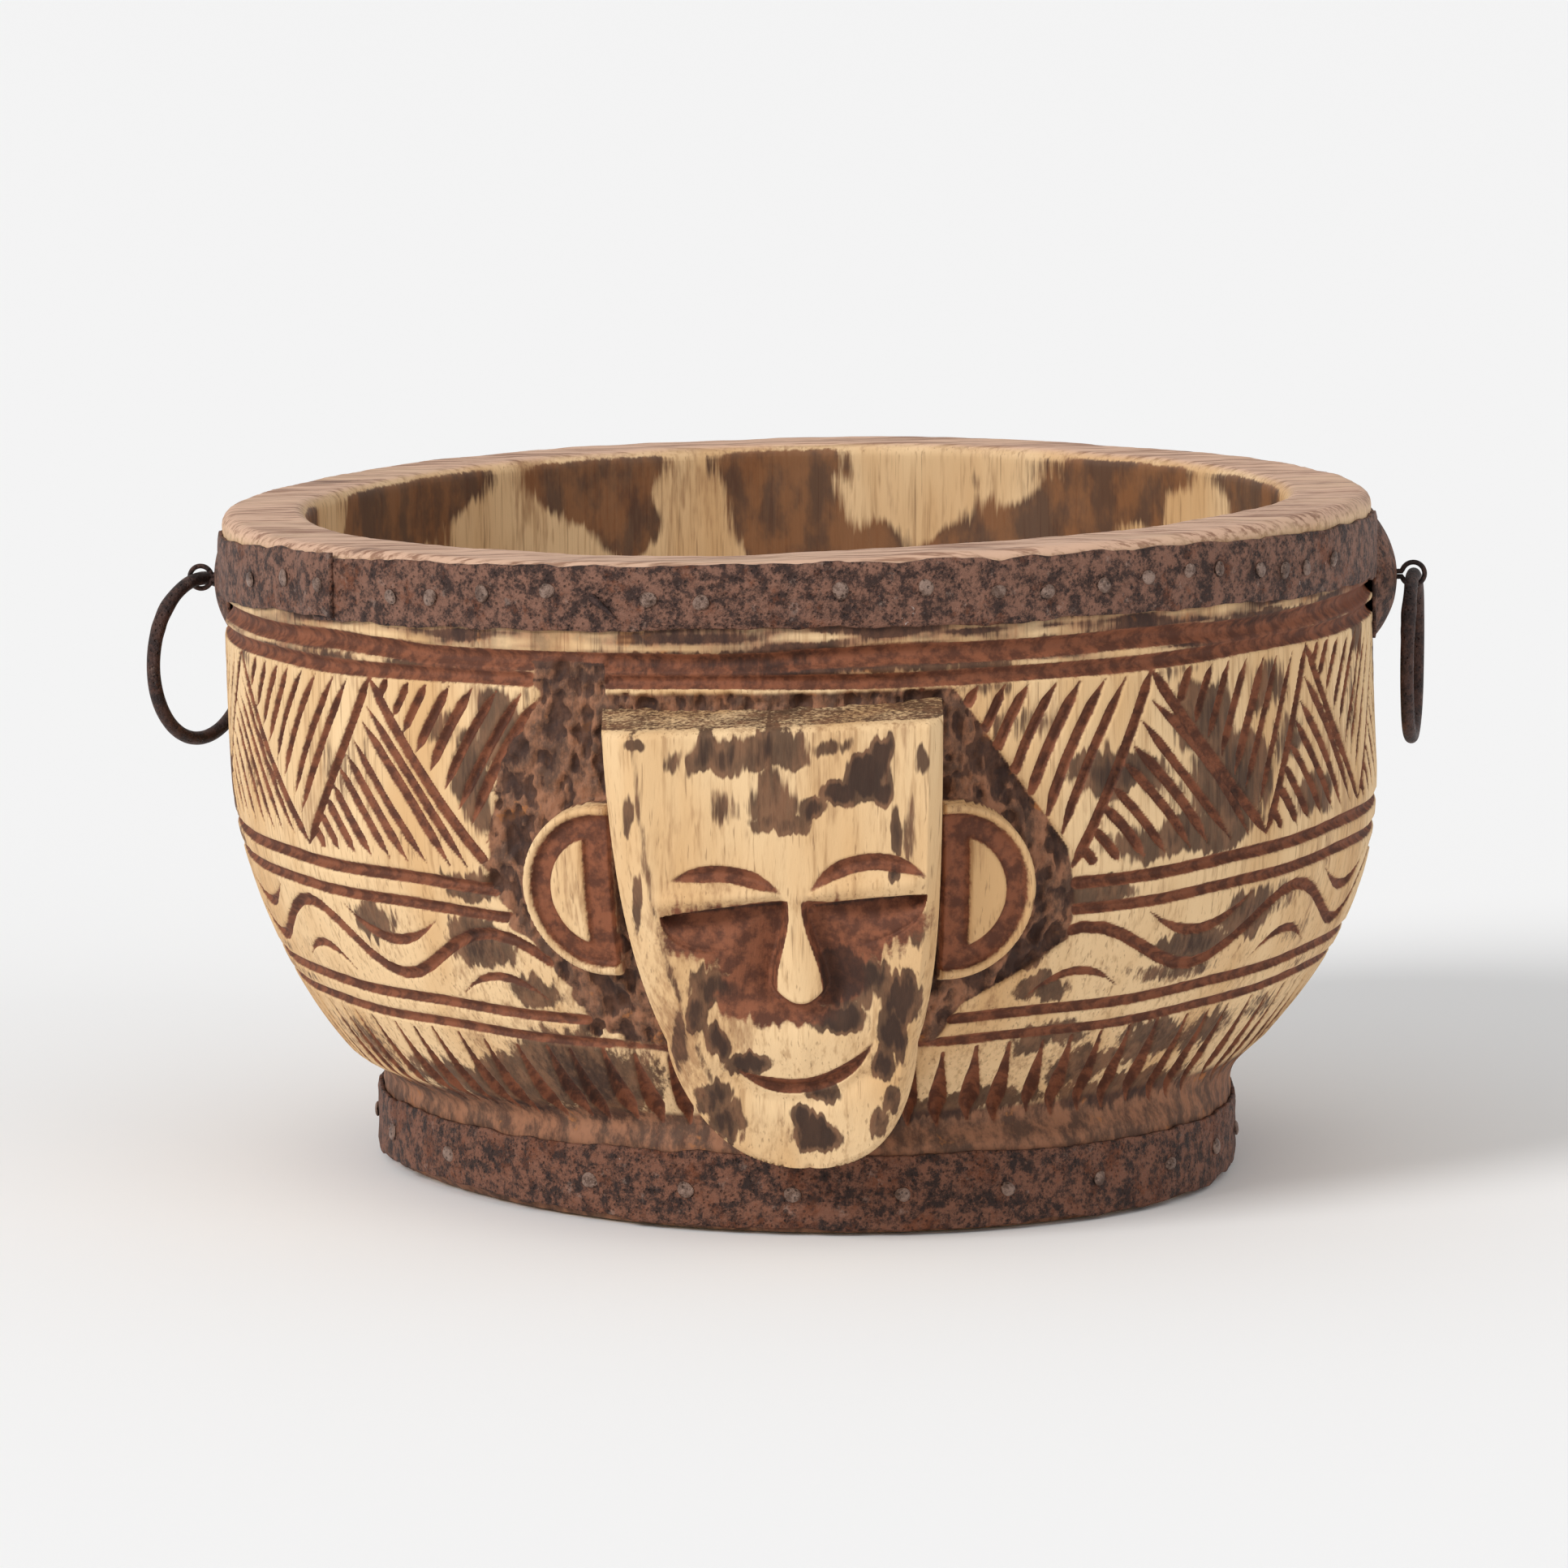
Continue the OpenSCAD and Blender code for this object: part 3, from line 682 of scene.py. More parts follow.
def mask_sides(z):
    """Left and right edge of the mask at heights z: a pointed jaw under a head that widens upwards."""
    z = np.asarray(z, float)
    down = np.clip((JAW_Z - z) / (JAW_Z - CHIN_Z), 0, 1)
    up = np.maximum(z - JAW_Z, 0)
    half = JAW_HALF * (1 - down ** 1.6) ** 0.4
    middle = 6.2 * down ** 1.4 - 3.7
    return middle - half - 26 * (1 - np.exp(-up / 55)), middle + half + 8.5 * (1 - np.exp(-up / 26))


def mask_front(z):
    """How far forward the mask's face stands at heights z."""
    return outline_at(z, MASK_FRONT)


def distance_to_edge(x, z, side):
    """Distance from each point to the left (0) or right (1) edge of the mask."""
    edge_z = np.linspace(CHIN_Z, MASK_TOP + 12, 260)
    edge_x = mask_sides(edge_z)[side]
    near = np.full(x.shape, 1e9)
    for ex, ez in zip(edge_x, edge_z):
        near = np.minimum(near, (x - ex) ** 2 + (z - ez) ** 2)
    return np.sqrt(near)


def arc_cut(x, z, centre, radius, width, depth, from_deg, to_deg):
    """A groove along part of a circle, tapering to both ends."""
    dx, dz = x - centre[0], z - centre[1]
    angle = np.degrees(np.arctan2(dz, dx))
    middle, half = (from_deg + to_deg) / 2, abs(to_deg - from_deg) / 2
    off = np.abs((angle - middle + 180) % 360 - 180) / half
    taper = smooth(off, 1.0, 0.3)
    across = np.abs(np.hypot(dx, dz) - radius) / np.maximum(width / 2 * (0.2 + 0.8 * taper), 0.1)
    return depth * taper * np.clip(1 - across, 0, 1) ** 0.7


def eye_socket(x, z, inner_x, outer_x, top, rise, height):
    """A closed eye: deep under the brow and running out to a crease below. Returns its depth and its place.

    top is its upper edge's height beside the nose, and rise is how much that edge climbs towards +X.
    """
    t = np.clip((x - inner_x) / (outer_x - inner_x), -1, 2)
    upper = top + rise * (x - inner_x) - 1.8 * t ** 2
    tall = height * np.sqrt(np.clip(1 - np.abs(t) ** 2.6, 0, 1)) + 0.01
    down = (upper - z) / tall
    inside = smooth(down, -0.05, 0.05) * smooth(down, 1.06, 0.94) * smooth(t, -0.1, 0.0) * (t < 1)
    crease = 1.0 * bump(down, 1.0, 0.06) * (t > 0) * (t < 1)
    lid = 1.5 * bump(down, 0.62, 0.3)
    return inside * (9.0 * (1 - 0.8 * np.clip(down, 0, 1)) - lid) + crease, inside


def face_cut(x, z):
    """Depth of the mask's features, where they are rubbed red-brown, where shade is painted into their crease
    lines and deep hollows, and the bare ridge of the nose.
    """
    left, on_left = eye_socket(x, z, -6.5, -50.0, 130.0, 0.09, 18.0)
    right, on_right = eye_socket(x, z, 4.5, 43.5, 128.8, 0.14, 18.0)
    sockets = np.maximum(left, right)
    left_brow = arc_cut(x, z, (-31, 99.6), 40.6, 6.6, 2.6, 118, 50)
    right_brow = arc_cut(x, z, (25.4, 114.6), 30.0, 6.6, 2.8, 148, 45)
    brows = np.maximum(left_brow, right_brow)
    swell = 2.2 * bump(z, 134 + 0.08 * x, 3.6) * smooth(np.abs(x + 3), 4, 12) * smooth(np.abs(x + 4), 52, 42)

    ridge_x = -3.0 + 0.06 * (130 - z)
    off = np.abs(x - ridge_x)
    half = 1.9 + 5.6 * smooth(z, 127, 99)
    tip_z = z - 0.07 * off ** 2
    nose = smooth(off, half + 3.2, half + 0.2) * smooth(tip_z, 91, 94) * smooth(z, 140, 131)
    beside = 7.5 * bump(off, 6, 15) * smooth(z, 87, 101) * smooth(z, 133, 125)
    under_nose = 4.0 * bump(off, 0, 12) * bump(z, 92, 6)
    hollows = np.maximum(np.maximum(sockets, beside), under_nose) * (1 - nose)
    tip = -3.4 * nose * smooth(z, 128, 100) * (1 - 0.8 * (off / (half + 4)) ** 2)

    smile = arc_cut(x, z, (-3.6, 94), 32.3, 6.0, 4.4, -136, -22)
    muzzle = -3.0 * bump(np.hypot((x - 1) / 1.6, z - 79), 0, 12)
    under_lip = 1.6 * bump(np.hypot(x + 3.6, z - 94), 38, 4) * smooth(z, 72, 64)
    depth = hollows + brows - swell * (1 - on_left) * (1 - on_right) + smile + muzzle + under_lip + tip

    bare = smooth(off, half + 0.9, half + 0.2) * smooth(tip_z, 92.3, 93.5) * smooth(z, 134, 130)
    rubbed = np.maximum.reduce([on_left, on_right, brows / 1.8, smile / 2.4, smooth(beside, 1, 4)])
    rubbed = rubbed * (1 - bare)
    # Painted shadow in the deep upper part of each eye socket, and painted shade along the deepest crease
    # lines, beside the nose and along the lower lids.
    shadow = 0.42 * smooth(sockets, 3.0, 6.0) * (1 - nose)
    painted_crease_shade = np.maximum(1.3 * smooth(sockets, 6.8, 8.8) * (1 - nose), 0.9 * smooth(smile, 2.6, 4.2))
    painted_crease_shade = np.maximum(painted_crease_shade, 0.9 * bump(off, half + 2.0, 1.0) * smooth(z, 95, 99) * smooth(z, 126, 116))
    lids = smooth(4 * on_left * (1 - on_left), 0.4, 0.9) + smooth(4 * on_right * (1 - on_right), 0.4, 0.9)
    painted_crease_shade = np.maximum(painted_crease_shade, 0.8 * lids * smooth(z, 124, 119) * (1 - nose))
    return depth, rubbed, np.maximum(painted_crease_shade, shadow), bare


def make_mask():
    """The mask: a face with bevelled edges, a sloping top ledge and closed sides."""
    rows, cols = ((330, 240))
    even = np.linspace(-1, 1, cols)
    spread = (even + np.sin(even * math.pi / 2)) / 2
    share = np.linspace(0, 1, rows)[:, None] ** 1.25
    level = CHIN_Z + 0.05 + (MASK_TOP - CHIN_Z - 0.05) * share
    left, right = mask_sides(level)
    x = (left + right) / 2 + (right - left) / 2 * spread[None, :]
    z = level + MASK_RISE * share ** 3 * (spread[None, :] + 1) / 2
    to_left, to_right = distance_to_edge(x, z, 0), distance_to_edge(x, z, 1)
    to_edge = np.minimum(to_left, to_right)

    depth, rubbed, painted_crease_shade, bare = face_cut(x, z)
    inside = smooth(to_edge, 1.0, 6.0)
    drop = 2.4 * np.clip(1 - to_edge / 2.6, 0, 1) ** 2 + 2.0 * np.clip(1 - (z[-1] - z) / 2.6, 0, 1) ** 2
    for away, (width, fall) in ((to_left, BEVEL_LEFT), (to_right, BEVEL_RIGHT)):
        drop += fall * np.clip(1 - away / width, 0, 1) * smooth(z, 30, 66)
    grain = np.stack([x, 0 * x, z], -1).reshape(-1, 3)
    drop += 0.3 * fractal(grain, (6, 6, 24), 51, 3).reshape(x.shape) + 1.6 * ((x + 8) / 56) ** 2
    reach = mask_front(z) - drop - depth * inside
    face = np.stack([x, -reach, z], -1)

    steps = np.linspace(0, 1, 14)[1:]
    ledge = np.stack([
        np.stack([x[-1], -(reach[-1] + (192.0 - reach[-1]) * s), z[-1] + 6.0 * s ** 0.9], -1) for s in steps
    ])
    ledge[..., 2] += 0.5 * fractal(ledge.reshape(-1, 3), (24, 5, 5), 57, 3).reshape(ledge.shape[:2])
    front = np.concatenate([face, ledge])
    sheet = np.concatenate([set_back(front[:, :1]), front, set_back(front[:, -1:])], 1)
    total, cols_all = sheet.shape[:2]

    xs, zs = front[..., 0], front[..., 2]
    places = np.stack([xs, 0 * xs, zs], -1).reshape(-1, 3)
    plain = np.zeros((len(ledge), cols))
    open_face = 1 - np.concatenate([bare, plain])
    red = np.maximum(np.concatenate([rubbed * inside, plain]), burns(xs, zs, places, MASK_RUBS) * open_face)
    # Painted shade: a dark line along the crease of the left bevel, and the right edge darkened.
    painted_edge_shade = 0.5 * bump(to_left, BEVEL_LEFT[0] + 1, 2.2) * smooth(z, 44, 66) + 0.35 * smooth(to_right, 5, 1)
    # Painted shade in the crease lines and along the edges, and a stain over the top ledge, ride with the
    # scorching of the mask.
    dark = np.concatenate([np.maximum(painted_crease_shade, painted_edge_shade) * inside, plain + 0.53])
    burnt_and_shaded = np.maximum(1.25 * burns(xs, zs, places, MASK_BURNS) * open_face, dark)
    values = {
        "cut": with_sides(np.clip(red, 0, 1), 0.0), "scorch_and_shade": with_sides(burnt_and_shaded, 0.95),
        "stain": np.zeros((total, cols_all)), "rust": np.zeros((total, cols_all)),
    }
    across = np.concatenate([[0.0], np.linspace(0.06, 0.94, cols), [1.0]])
    uv = laned_uv(across, np.linspace(0, 1, total), 1)
    faces = grid_faces(total, cols_all)
    return new_mesh("mask_face", sheet.reshape(-1, 3), faces, uv, {k: v.ravel() for k, v in values.items()})


def set_back(edge):
    """The same edge of the mask, moved back until it lies inside the wood of the wall."""
    moved = edge.copy()
    x, z = moved[..., 0], moved[..., 2]
    moved[..., 1] = -np.sqrt((belly_r(z) - MASK_SINK) ** 2 - x ** 2)
    return moved


def with_sides(field, side):
    """The field with a column on each side that has the value side."""
    return np.pad(field, ((0, 0), (1, 1)), constant_values=side)


# ---- Node materials ----

class Nodes:
    """Short names for the nodes that the materials are made of."""

    def __init__(self, name):
        self.material = bpy.data.materials.new(name)
        self.material.use_nodes = True
        self.tree = self.material.node_tree
        self.shader = self.tree.nodes["Principled BSDF"]
        self.place = self.tree.nodes.new("ShaderNodeTexCoord").outputs["Object"]

    def link(self, source, socket):
        if isinstance(source, (int, float)):
            socket.default_value = source
        elif isinstance(source, tuple):
            socket.default_value = (*source, 1.0) if len(source) == 3 else source
        else:
            self.tree.links.new(source, socket)

    def attribute(self, name):
        node = self.tree.nodes.new("ShaderNodeAttribute")
        node.attribute_name = name
        return node.outputs["Fac"]

    def noise(self, scale, detail=4.0, rough=0.55, stretch=None, distortion=0.0, place=None):
        """Noise over the object, in cells a metre; stretch squeezes or draws it out along each axis."""
        node = self.tree.nodes.new("ShaderNodeTexNoise")
        node.inputs["Scale"].default_value = scale
        node.inputs["Detail"].default_value = detail
        node.inputs["Roughness"].default_value = rough
        node.inputs["Distortion"].default_value = distortion
        self.link(self.stretched(place or self.place, stretch), node.inputs["Vector"])
        return node.outputs["Fac"]

    def stretched(self, place, stretch):
        if stretch is None:
            return place
        node = self.tree.nodes.new("ShaderNodeMapping")
        node.inputs["Scale"].default_value = stretch
        self.link(place, node.inputs["Vector"])
        return node.outputs["Vector"]

    def spots(self, scale, stretch=None):
        node = self.tree.nodes.new("ShaderNodeTexVoronoi")
        node.inputs["Scale"].default_value = scale
        self.link(self.stretched(self.place, stretch), node.inputs["Vector"])
        return node.outputs["Distance"]

    def maths(self, kind, a, b=0.0, clamp=False):
        node = self.tree.nodes.new("ShaderNodeMath")
        node.operation = kind
        node.use_clamp = clamp
        self.link(a, node.inputs[0])
        self.link(b, node.inputs[1])
        return node.outputs[0]

    def step(self, source, low, high):
        """0 below low and 1 above high, smooth between; it runs down when low is above high."""
        node = self.tree.nodes.new("ShaderNodeMapRange")
        node.interpolation_type = "SMOOTHSTEP"
        flipped = low > high
        self.link(source, node.inputs["Value"])
        node.inputs["From Min"].default_value = min(low, high)
        node.inputs["From Max"].default_value = max(low, high)
        node.inputs["To Min"].default_value = 1.0 if flipped else 0.0
        node.inputs["To Max"].default_value = 0.0 if flipped else 1.0
        return node.outputs["Result"]

    def mix(self, factor, a, b, blend="MIX"):
        node = self.tree.nodes.new("ShaderNodeMix")
        node.data_type = "RGBA"
        node.blend_type = blend
        self.link(factor, node.inputs["Factor"])
        self.link(a, node.inputs["A"])
        self.link(b, node.inputs["B"])
        return node.outputs["Result"]

    def tint(self, base, tone, amount, share):
        """base, turned towards tone by a share of amount."""
        return self.mix(self.maths("MULTIPLY", amount, share), base, tone)

    def plus(self, a, b, share):
        """a plus a share of b."""
        return self.maths("ADD", a, self.maths("MULTIPLY", b, share))

    def relief(self, height, strength, distance):
        node = self.tree.nodes.new("ShaderNodeBump")
        node.inputs["Strength"].default_value = strength
        node.inputs["Distance"].default_value = distance
        self.link(height, node.inputs["Height"])
        self.link(node.outputs["Normal"], self.shader.inputs["Normal"])


def colour(red, green, blue):
    """Linear colour from the usual 0 to 255 values."""
    shares = (c / 255 for c in (red, green, blue))
    return tuple(c / 12.92 if c <= 0.04045 else ((c + 0.055) / 1.055) ** 2.4 for c in shares)


PALE = colour(230, 196, 150)
HONEY = colour(210, 168, 118)
GROOVE = colour(136, 82, 56)
# The next two colours are those of scorching, and they also paint shade into crease lines and hollows.
CHAR_AND_SHADE = colour(70, 43, 31)
SOOT_AND_SHADE = colour(48, 32, 26)
RUST = colour(138, 74, 38)
RIM_TAN = colour(208, 170, 144)


def wood_base(n):
    """Pale dry wood with upright streaks of grain and a few darker pores."""
    streak = n.noise(420, 3, 0.6, (1, 1, 0.05))
    broad = n.noise(26, 3, 0.5, (1, 1, 0.22))
    base = n.mix(n.step(broad, 0.38, 0.68), PALE, HONEY)
    base = n.tint(base, colour(150, 108, 68), n.step(streak, 0.5, 0.74), 0.5)
    grime = n.plus(n.noise(38, 4, 0.6, (1, 1, 0.5)), n.noise(600, 2, 0.6, (1, 1, 0.1)), 0.5)
    base = n.tint(base, colour(140, 96, 62), n.step(grime, 0.78, 1.02), 0.6)
    pores = n.step(n.noise(900, 2, 0.5, (1, 1, 0.03)), 0.6, 0.72)
    return n.tint(base, colour(104, 68, 42), pores, 0.45), streak


def feathered(n, amount, low, high):
    """A dark patch whose edge breaks up along the grain: scorching, blotches and painted shade."""
    fine = n.noise(520, 3, 0.65, (1, 1, 0.07))
    coarse = n.noise(60, 4, 0.6, (1, 1, 0.45))
    ragged = n.maths("ADD", n.maths("MULTIPLY", n.maths("SUBTRACT", fine, 0.5), 0.75),
                     n.maths("MULTIPLY", n.maths("SUBTRACT", coarse, 0.5), 0.55))
    return n.step(n.maths("ADD", amount, ragged), low, high)


def carved_wood(name):
    """Carved wall and mask: pale ridges, brown grooves, patches of scorching with painted shade in the mask's
    crease lines and edges and in the ground's hollows, stained foot and rusty places.
    """
    n = Nodes(name)
    base, streak = wood_base(n)
    # The scorching amount also carries painted shade from the mask's crease lines and edges and from the
    # ground's hollows.
    scorch_and_shade = n.attribute("scorch_and_shade")
    scorched_and_shaded = feathered(n, scorch_and_shade, 0.36, 0.6)
    black = feathered(n, scorch_and_shade, 0.8, 1.2)
    shade = n.mix(n.step(n.noise(150, 4, 0.65, (1, 1, 0.3)), 0.4, 0.66), CHAR_AND_SHADE, colour(112, 74, 52))
    skin = n.tint(base, shade, scorched_and_shaded, 0.92)
    skin = n.tint(skin, SOOT_AND_SHADE, black, 0.8)
    stain = n.step(n.plus(n.attribute("stain"), n.noise(70, 4, 0.6), 0.5), 0.55, 1.1)
    mottle = n.step(n.noise(150, 5, 0.7, (1, 1, 0.6)), 0.36, 0.62)
    stain_tone = n.mix(mottle, colour(146, 98, 72), colour(74, 47, 38))
    stain_tone = n.mix(n.step(n.noise(75, 4, 0.65), 0.6, 0.68), stain_tone, colour(158, 98, 54))
    stain_tone = n.tint(stain_tone, SOOT_AND_SHADE, scorched_and_shaded, 0.7)
    skin = n.tint(skin, stain_tone, stain, 0.95)
    groove = n.mix(n.step(n.noise(170, 4, 0.65), 0.38, 0.62), GROOVE, colour(92, 54, 38))
    ragged = n.plus(n.attribute("cut"), n.maths("SUBTRACT", n.noise(500, 3, 0.6), 0.5), 0.5)
    groove = n.tint(groove, SOOT_AND_SHADE, black, 0.75)
    skin = n.mix(n.step(ragged, 0.08, 0.42), skin, groove)
    rusty = n.step(n.maths("ADD", n.attribute("rust"), n.noise(80, 5, 0.65)), 0.95, 1.3)
    skin = n.tint(skin, n.mix(n.noise(260, 3), RUST, colour(84, 48, 36)), rusty, 0.9)
    n.link(skin, n.shader.inputs["Base Color"])
    n.link(n.plus(0.62, streak, 0.2), n.shader.inputs["Roughness"])
    n.shader.inputs["Specular IOR Level"].default_value = 0.3
    n.relief(n.plus(streak, n.noise(1300, 3, 0.6, (1, 1, 0.25)), 0.6), 0.35, 0.0006)
    return n.material


def hollow_wood(name):
    """Rim worn to a tan, and an inside of pale wood with long brown blotches."""
    n = Nodes(name)
    base, streak = wood_base(n)
    blotch = feathered(n, n.attribute("scorch_and_shade"), 0.3, 0.6)
    tone = n.mix(n.step(n.noise(70, 4, 0.6, (1, 1, 0.5)), 0.4, 0.62), colour(124, 78, 46), colour(74, 45, 35))
    skin = n.tint(base, tone, blotch, 0.92)
    fibre = n.noise(330, 4, 0.65, (0.07, 1, 1))
    worn = n.mix(n.step(fibre, 0.45, 0.62), RIM_TAN, colour(146, 108, 86))
    pale_streaks = n.step(n.noise(34, 3, 0.6, (0.3, 1, 1)), 0.5, 0.7)
    worn = n.tint(worn, colour(206, 172, 142), pale_streaks, 0.6)
    dark_streaks = n.step(n.noise(60, 5, 0.7, (0.2, 1, 1)), 0.6, 0.72)
    worn = n.tint(worn, colour(96, 64, 50), dark_streaks, 0.7)
    skin = n.mix(n.attribute("top"), skin, worn)
    n.link(skin, n.shader.inputs["Base Color"])
    n.shader.inputs["Roughness"].default_value = 0.62
    n.shader.inputs["Specular IOR Level"].default_value = 0.3
    n.relief(streak, 0.3, 0.0006)
    return n.material


def iron(name, dark, mid, rust_share, light_share=0.2, rough=0.62, fleck_share=0.0):
    """Old iron: a dark skin with blotches of brown rust, rubbed greyer places and flecks of old paint."""
    n = Nodes(name)
    fine = n.noise(420, 5, 0.7)
    skin = n.mix(n.step(n.noise(170, 7, 0.8), 0.42, 0.58), dark, mid)
    spread = n.plus(n.noise(60, 5, 0.7), fine, 0.35)
    rusty = n.step(spread, 0.8 - rust_share, 1.0 - rust_share)
    skin = n.tint(skin, n.mix(fine, colour(96, 56, 38), RUST), rusty, 0.7)
    rubbed = n.step(n.noise(160, 4, 0.7), 0.72 - light_share, 0.86 - light_share)
    skin = n.tint(skin, colour(164, 138, 124), rubbed, 0.5)
    fleck_patches = n.step(n.noise(28, 3, 0.6), 0.56, 0.64)
    flecks = n.maths("MULTIPLY", n.step(n.noise(420, 4, 0.7), 0.66, 0.7), fleck_patches)
    skin = n.tint(skin, colour(196, 186, 180), flecks, fleck_share)
    pits = n.step(n.spots(520), 0.32, 0.1)
    skin = n.tint(skin, colour(38, 28, 28), pits, 0.5)
    n.link(skin, n.shader.inputs["Base Color"])
    n.link(n.plus(rough - 0.14, fine, 0.34), n.shader.inputs["Roughness"])
    n.shader.inputs["Metallic"].default_value = 0.35
    height = n.maths("SUBTRACT", n.maths("ADD", fine, n.noise(130, 6, 0.75)), n.maths("MULTIPLY", pits, 0.7))
    n.relief(height, 0.9, 0.0016)
    return n.material


# ---- Straps ----

STRAP_LANES = 6
# How far a beaten strap's face stands out beyond its own thickness
STRAP_SWELL = 0.75


def make_strap(name, az, low, high, inner, seed, closed=False):
    """A beaten strap: low, high and inner are its edges' heights and its inner radius at each azimuth.

    A closed strap goes all round the foot, which doesn't lean.
    """
    across = np.array([0, 0.03, 0.1, 0.2, 0.3, 0.4, 0.5, 0.6, 0.7, 0.8, 0.9, 0.97, 1.0])
    cols = len(az)
    aa = np.tile(az, len(across))
    level = np.repeat(across, cols)
    z = np.tile(low, len(across)) * (1 - level) + np.tile(high, len(across)) * level
    out = np.tile(inner, len(across)) + STRAP_T
    flat = wall_points(aa, out, z)
    dent = 0.55 * fractal(flat, (24, 24, 14), seed, 3) + 0.2 * fractal(flat, (5, 5, 5), seed + 7, 2)
    ragged = 1.5 * fractal(flat, (12, 12, 12), seed + 3, 3)
    edge = smooth(np.abs(level - 0.5), 0.42, 0.5)
    out = out + 0.6 * STRAP_SWELL + dent - 0.5 * edge
    z = z + ragged * edge
    outer = wall_points(aa, out, z)
    back = wall_points(aa, np.tile(inner, len(across)) + 0.05, z)
    rows = len(across)
    shell = np.concatenate([outer.reshape(rows, cols, 3), back.reshape(rows, cols, 3)[::-1]]).reshape(-1, 3)
    levels = np.concatenate([across * 0.72, 0.76 + across * 0.22, [1.0]])
    turn = np.linspace(0, 1, cols + 1 if closed else cols)
    uv = laned_uv(turn, levels, STRAP_LANES)
    if not closed:
        uv = np.concatenate([uv, np.full((4 * rows, 2), HIDDEN_UV)])
    return new_mesh(name, shell if closed else leaning(shell), loop_faces(2 * rows, cols, closed), uv)


def loop_faces(rows, cols, closed):
    """Quads of a tube whose rows run round its section, with its two ends capped unless it is closed."""
    wrapped = np.array(grid_faces(rows + 1, cols, closed)) % (rows * cols)
    faces = wrapped.tolist()
    if not closed:
        faces.append(tuple(r * cols for r in range(rows)))
        faces.append(tuple(r * cols + cols - 1 for r in reversed(range(rows))))
    return faces


def make_rim_straps():
    """The front strip and the back strip, whose end lies over the front one's."""
    step = 0.32
    half = RIM_STRAP_W / 2
    front = np.arange(LAP_AZ - LAP_DEG, SEAM_AZ, step)
    mid = strap_mid(front) - 0.6
    inner = np.full(len(front), WALL_R)
    front_strap = make_strap("rim_strap_front_iron", front, mid - half, mid + half, inner, 61)
    back = np.arange(SEAM_AZ + 0.1, 360 + LAP_AZ, step)
    mid = strap_mid(back) + 1.2 * smooth(back, 270, 310)
    lap_start = 360 + LAP_AZ - LAP_DEG
    inner = WALL_R + (STRAP_T + 0.5) * smooth(back, lap_start - 3, lap_start)
    back_strap = make_strap("rim_strap_back_iron", back, mid - half, mid + half, inner, 67)
    return front_strap, back_strap


def make_foot_strap():
    step = 0.42
    az = np.arange(-180, 180, step)
    low = FOOT_STRAP_Z - 1.2 * bump(az, 20, 40) + 1.6 * bump(az, -55, 25) + 0.5 * np.sin(np.radians(az) * 5)
    high = FOOT_STRAP_Z + FOOT_STRAP_W + 1.6 * bump(az, 5, 50) + 0.5 * np.sin(np.radians(az) * 3 + 1)
    return make_strap("foot_strap_iron", az, low, high, foot_reach(az) + 0.4, 71, closed=True)


# ---- Nails ----

def nail_shape(rng, head_r, head_h, shank_l):
    """One hand-made nail along +Z: a domed, slightly lopsided head over a square-cut shank."""
    sides = 18
    profile = [(0.35, head_h * 0.97), (0.7, head_h * 0.8), (0.93, head_h * 0.45), (1.0, 0.12), (0.96, -0.1)]
    shank = ((-0.1, 0.9), (-shank_l * 0.7, 0.75), (-shank_l, 0.1))
    turn = np.linspace(0, 2 * math.pi, sides, endpoint=False)
    wobble = 1 + 0.07 * np.sin(2 * turn + rng.uniform(0, 6)) + 0.04 * np.sin(3 * turn + rng.uniform(0, 6))
    tilt = rng.uniform(-0.12, 0.12, 2)
    verts = [(0.0, 0.0, head_h)]
    for share, h in profile:
        for a, w in zip(turn, wobble):
            x, y = head_r * share * w * math.cos(a), head_r * share * w * math.sin(a)
            verts.append((x, y, h + tilt[0] * x + tilt[1] * y))
    for depth, half in shank:
        for a in turn:
            square = half / max(abs(math.cos(a)), abs(math.sin(a)))
            verts.append((square * math.cos(a), square * math.sin(a), depth))
    rings = len(profile) + len(shank)
    faces = [(0, 1 + i, 1 + (i + 1) % sides) for i in range(sides)]
    for k in range(rings - 1):
        for i in range(sides):
            a, b = 1 + k * sides + i, 1 + k * sides + (i + 1) % sides
            faces.append((a, a + sides, b + sides, b))
    faces.append(tuple(1 + (rings - 1) * sides + i for i in reversed(range(sides))))
    return np.array(verts), faces


def join_shapes(name, shapes):
    verts, faces, start = [], [], 0
    for v, f in shapes:
        verts.append(v)
        faces += [tuple(i + start for i in face) for face in f]
        start += len(v)
    return new_mesh(name, np.concatenate(verts), faces)


def outward_frame(az):
    """Columns: along the wall, up, and outwards, at an azimuth on the upright bowl."""
    a = math.radians(az)
    return np.array([[math.cos(a), math.sin(a), 0], [0, 0, 1], [math.sin(a), -math.cos(a), 0]]).T


def placed_nails(rng, places, lean=True):
    """Nails at (azimuth, radius, height), each pointing into the wood."""
    shapes = []
    for az, r, z in places:
        v, f = nail_shape(rng, 2.9 * rng.uniform(0.88, 1.1), rng.uniform(0.9, 1.25), 15.0)
        v = v @ outward_frame(az).T + wall_points(az, r, z)
        shapes.append((leaning(v) if lean else v, f))
    return shapes


def nail_z(az):
    return strap_mid(az) + 2 * math.sin(math.radians(az * 11))


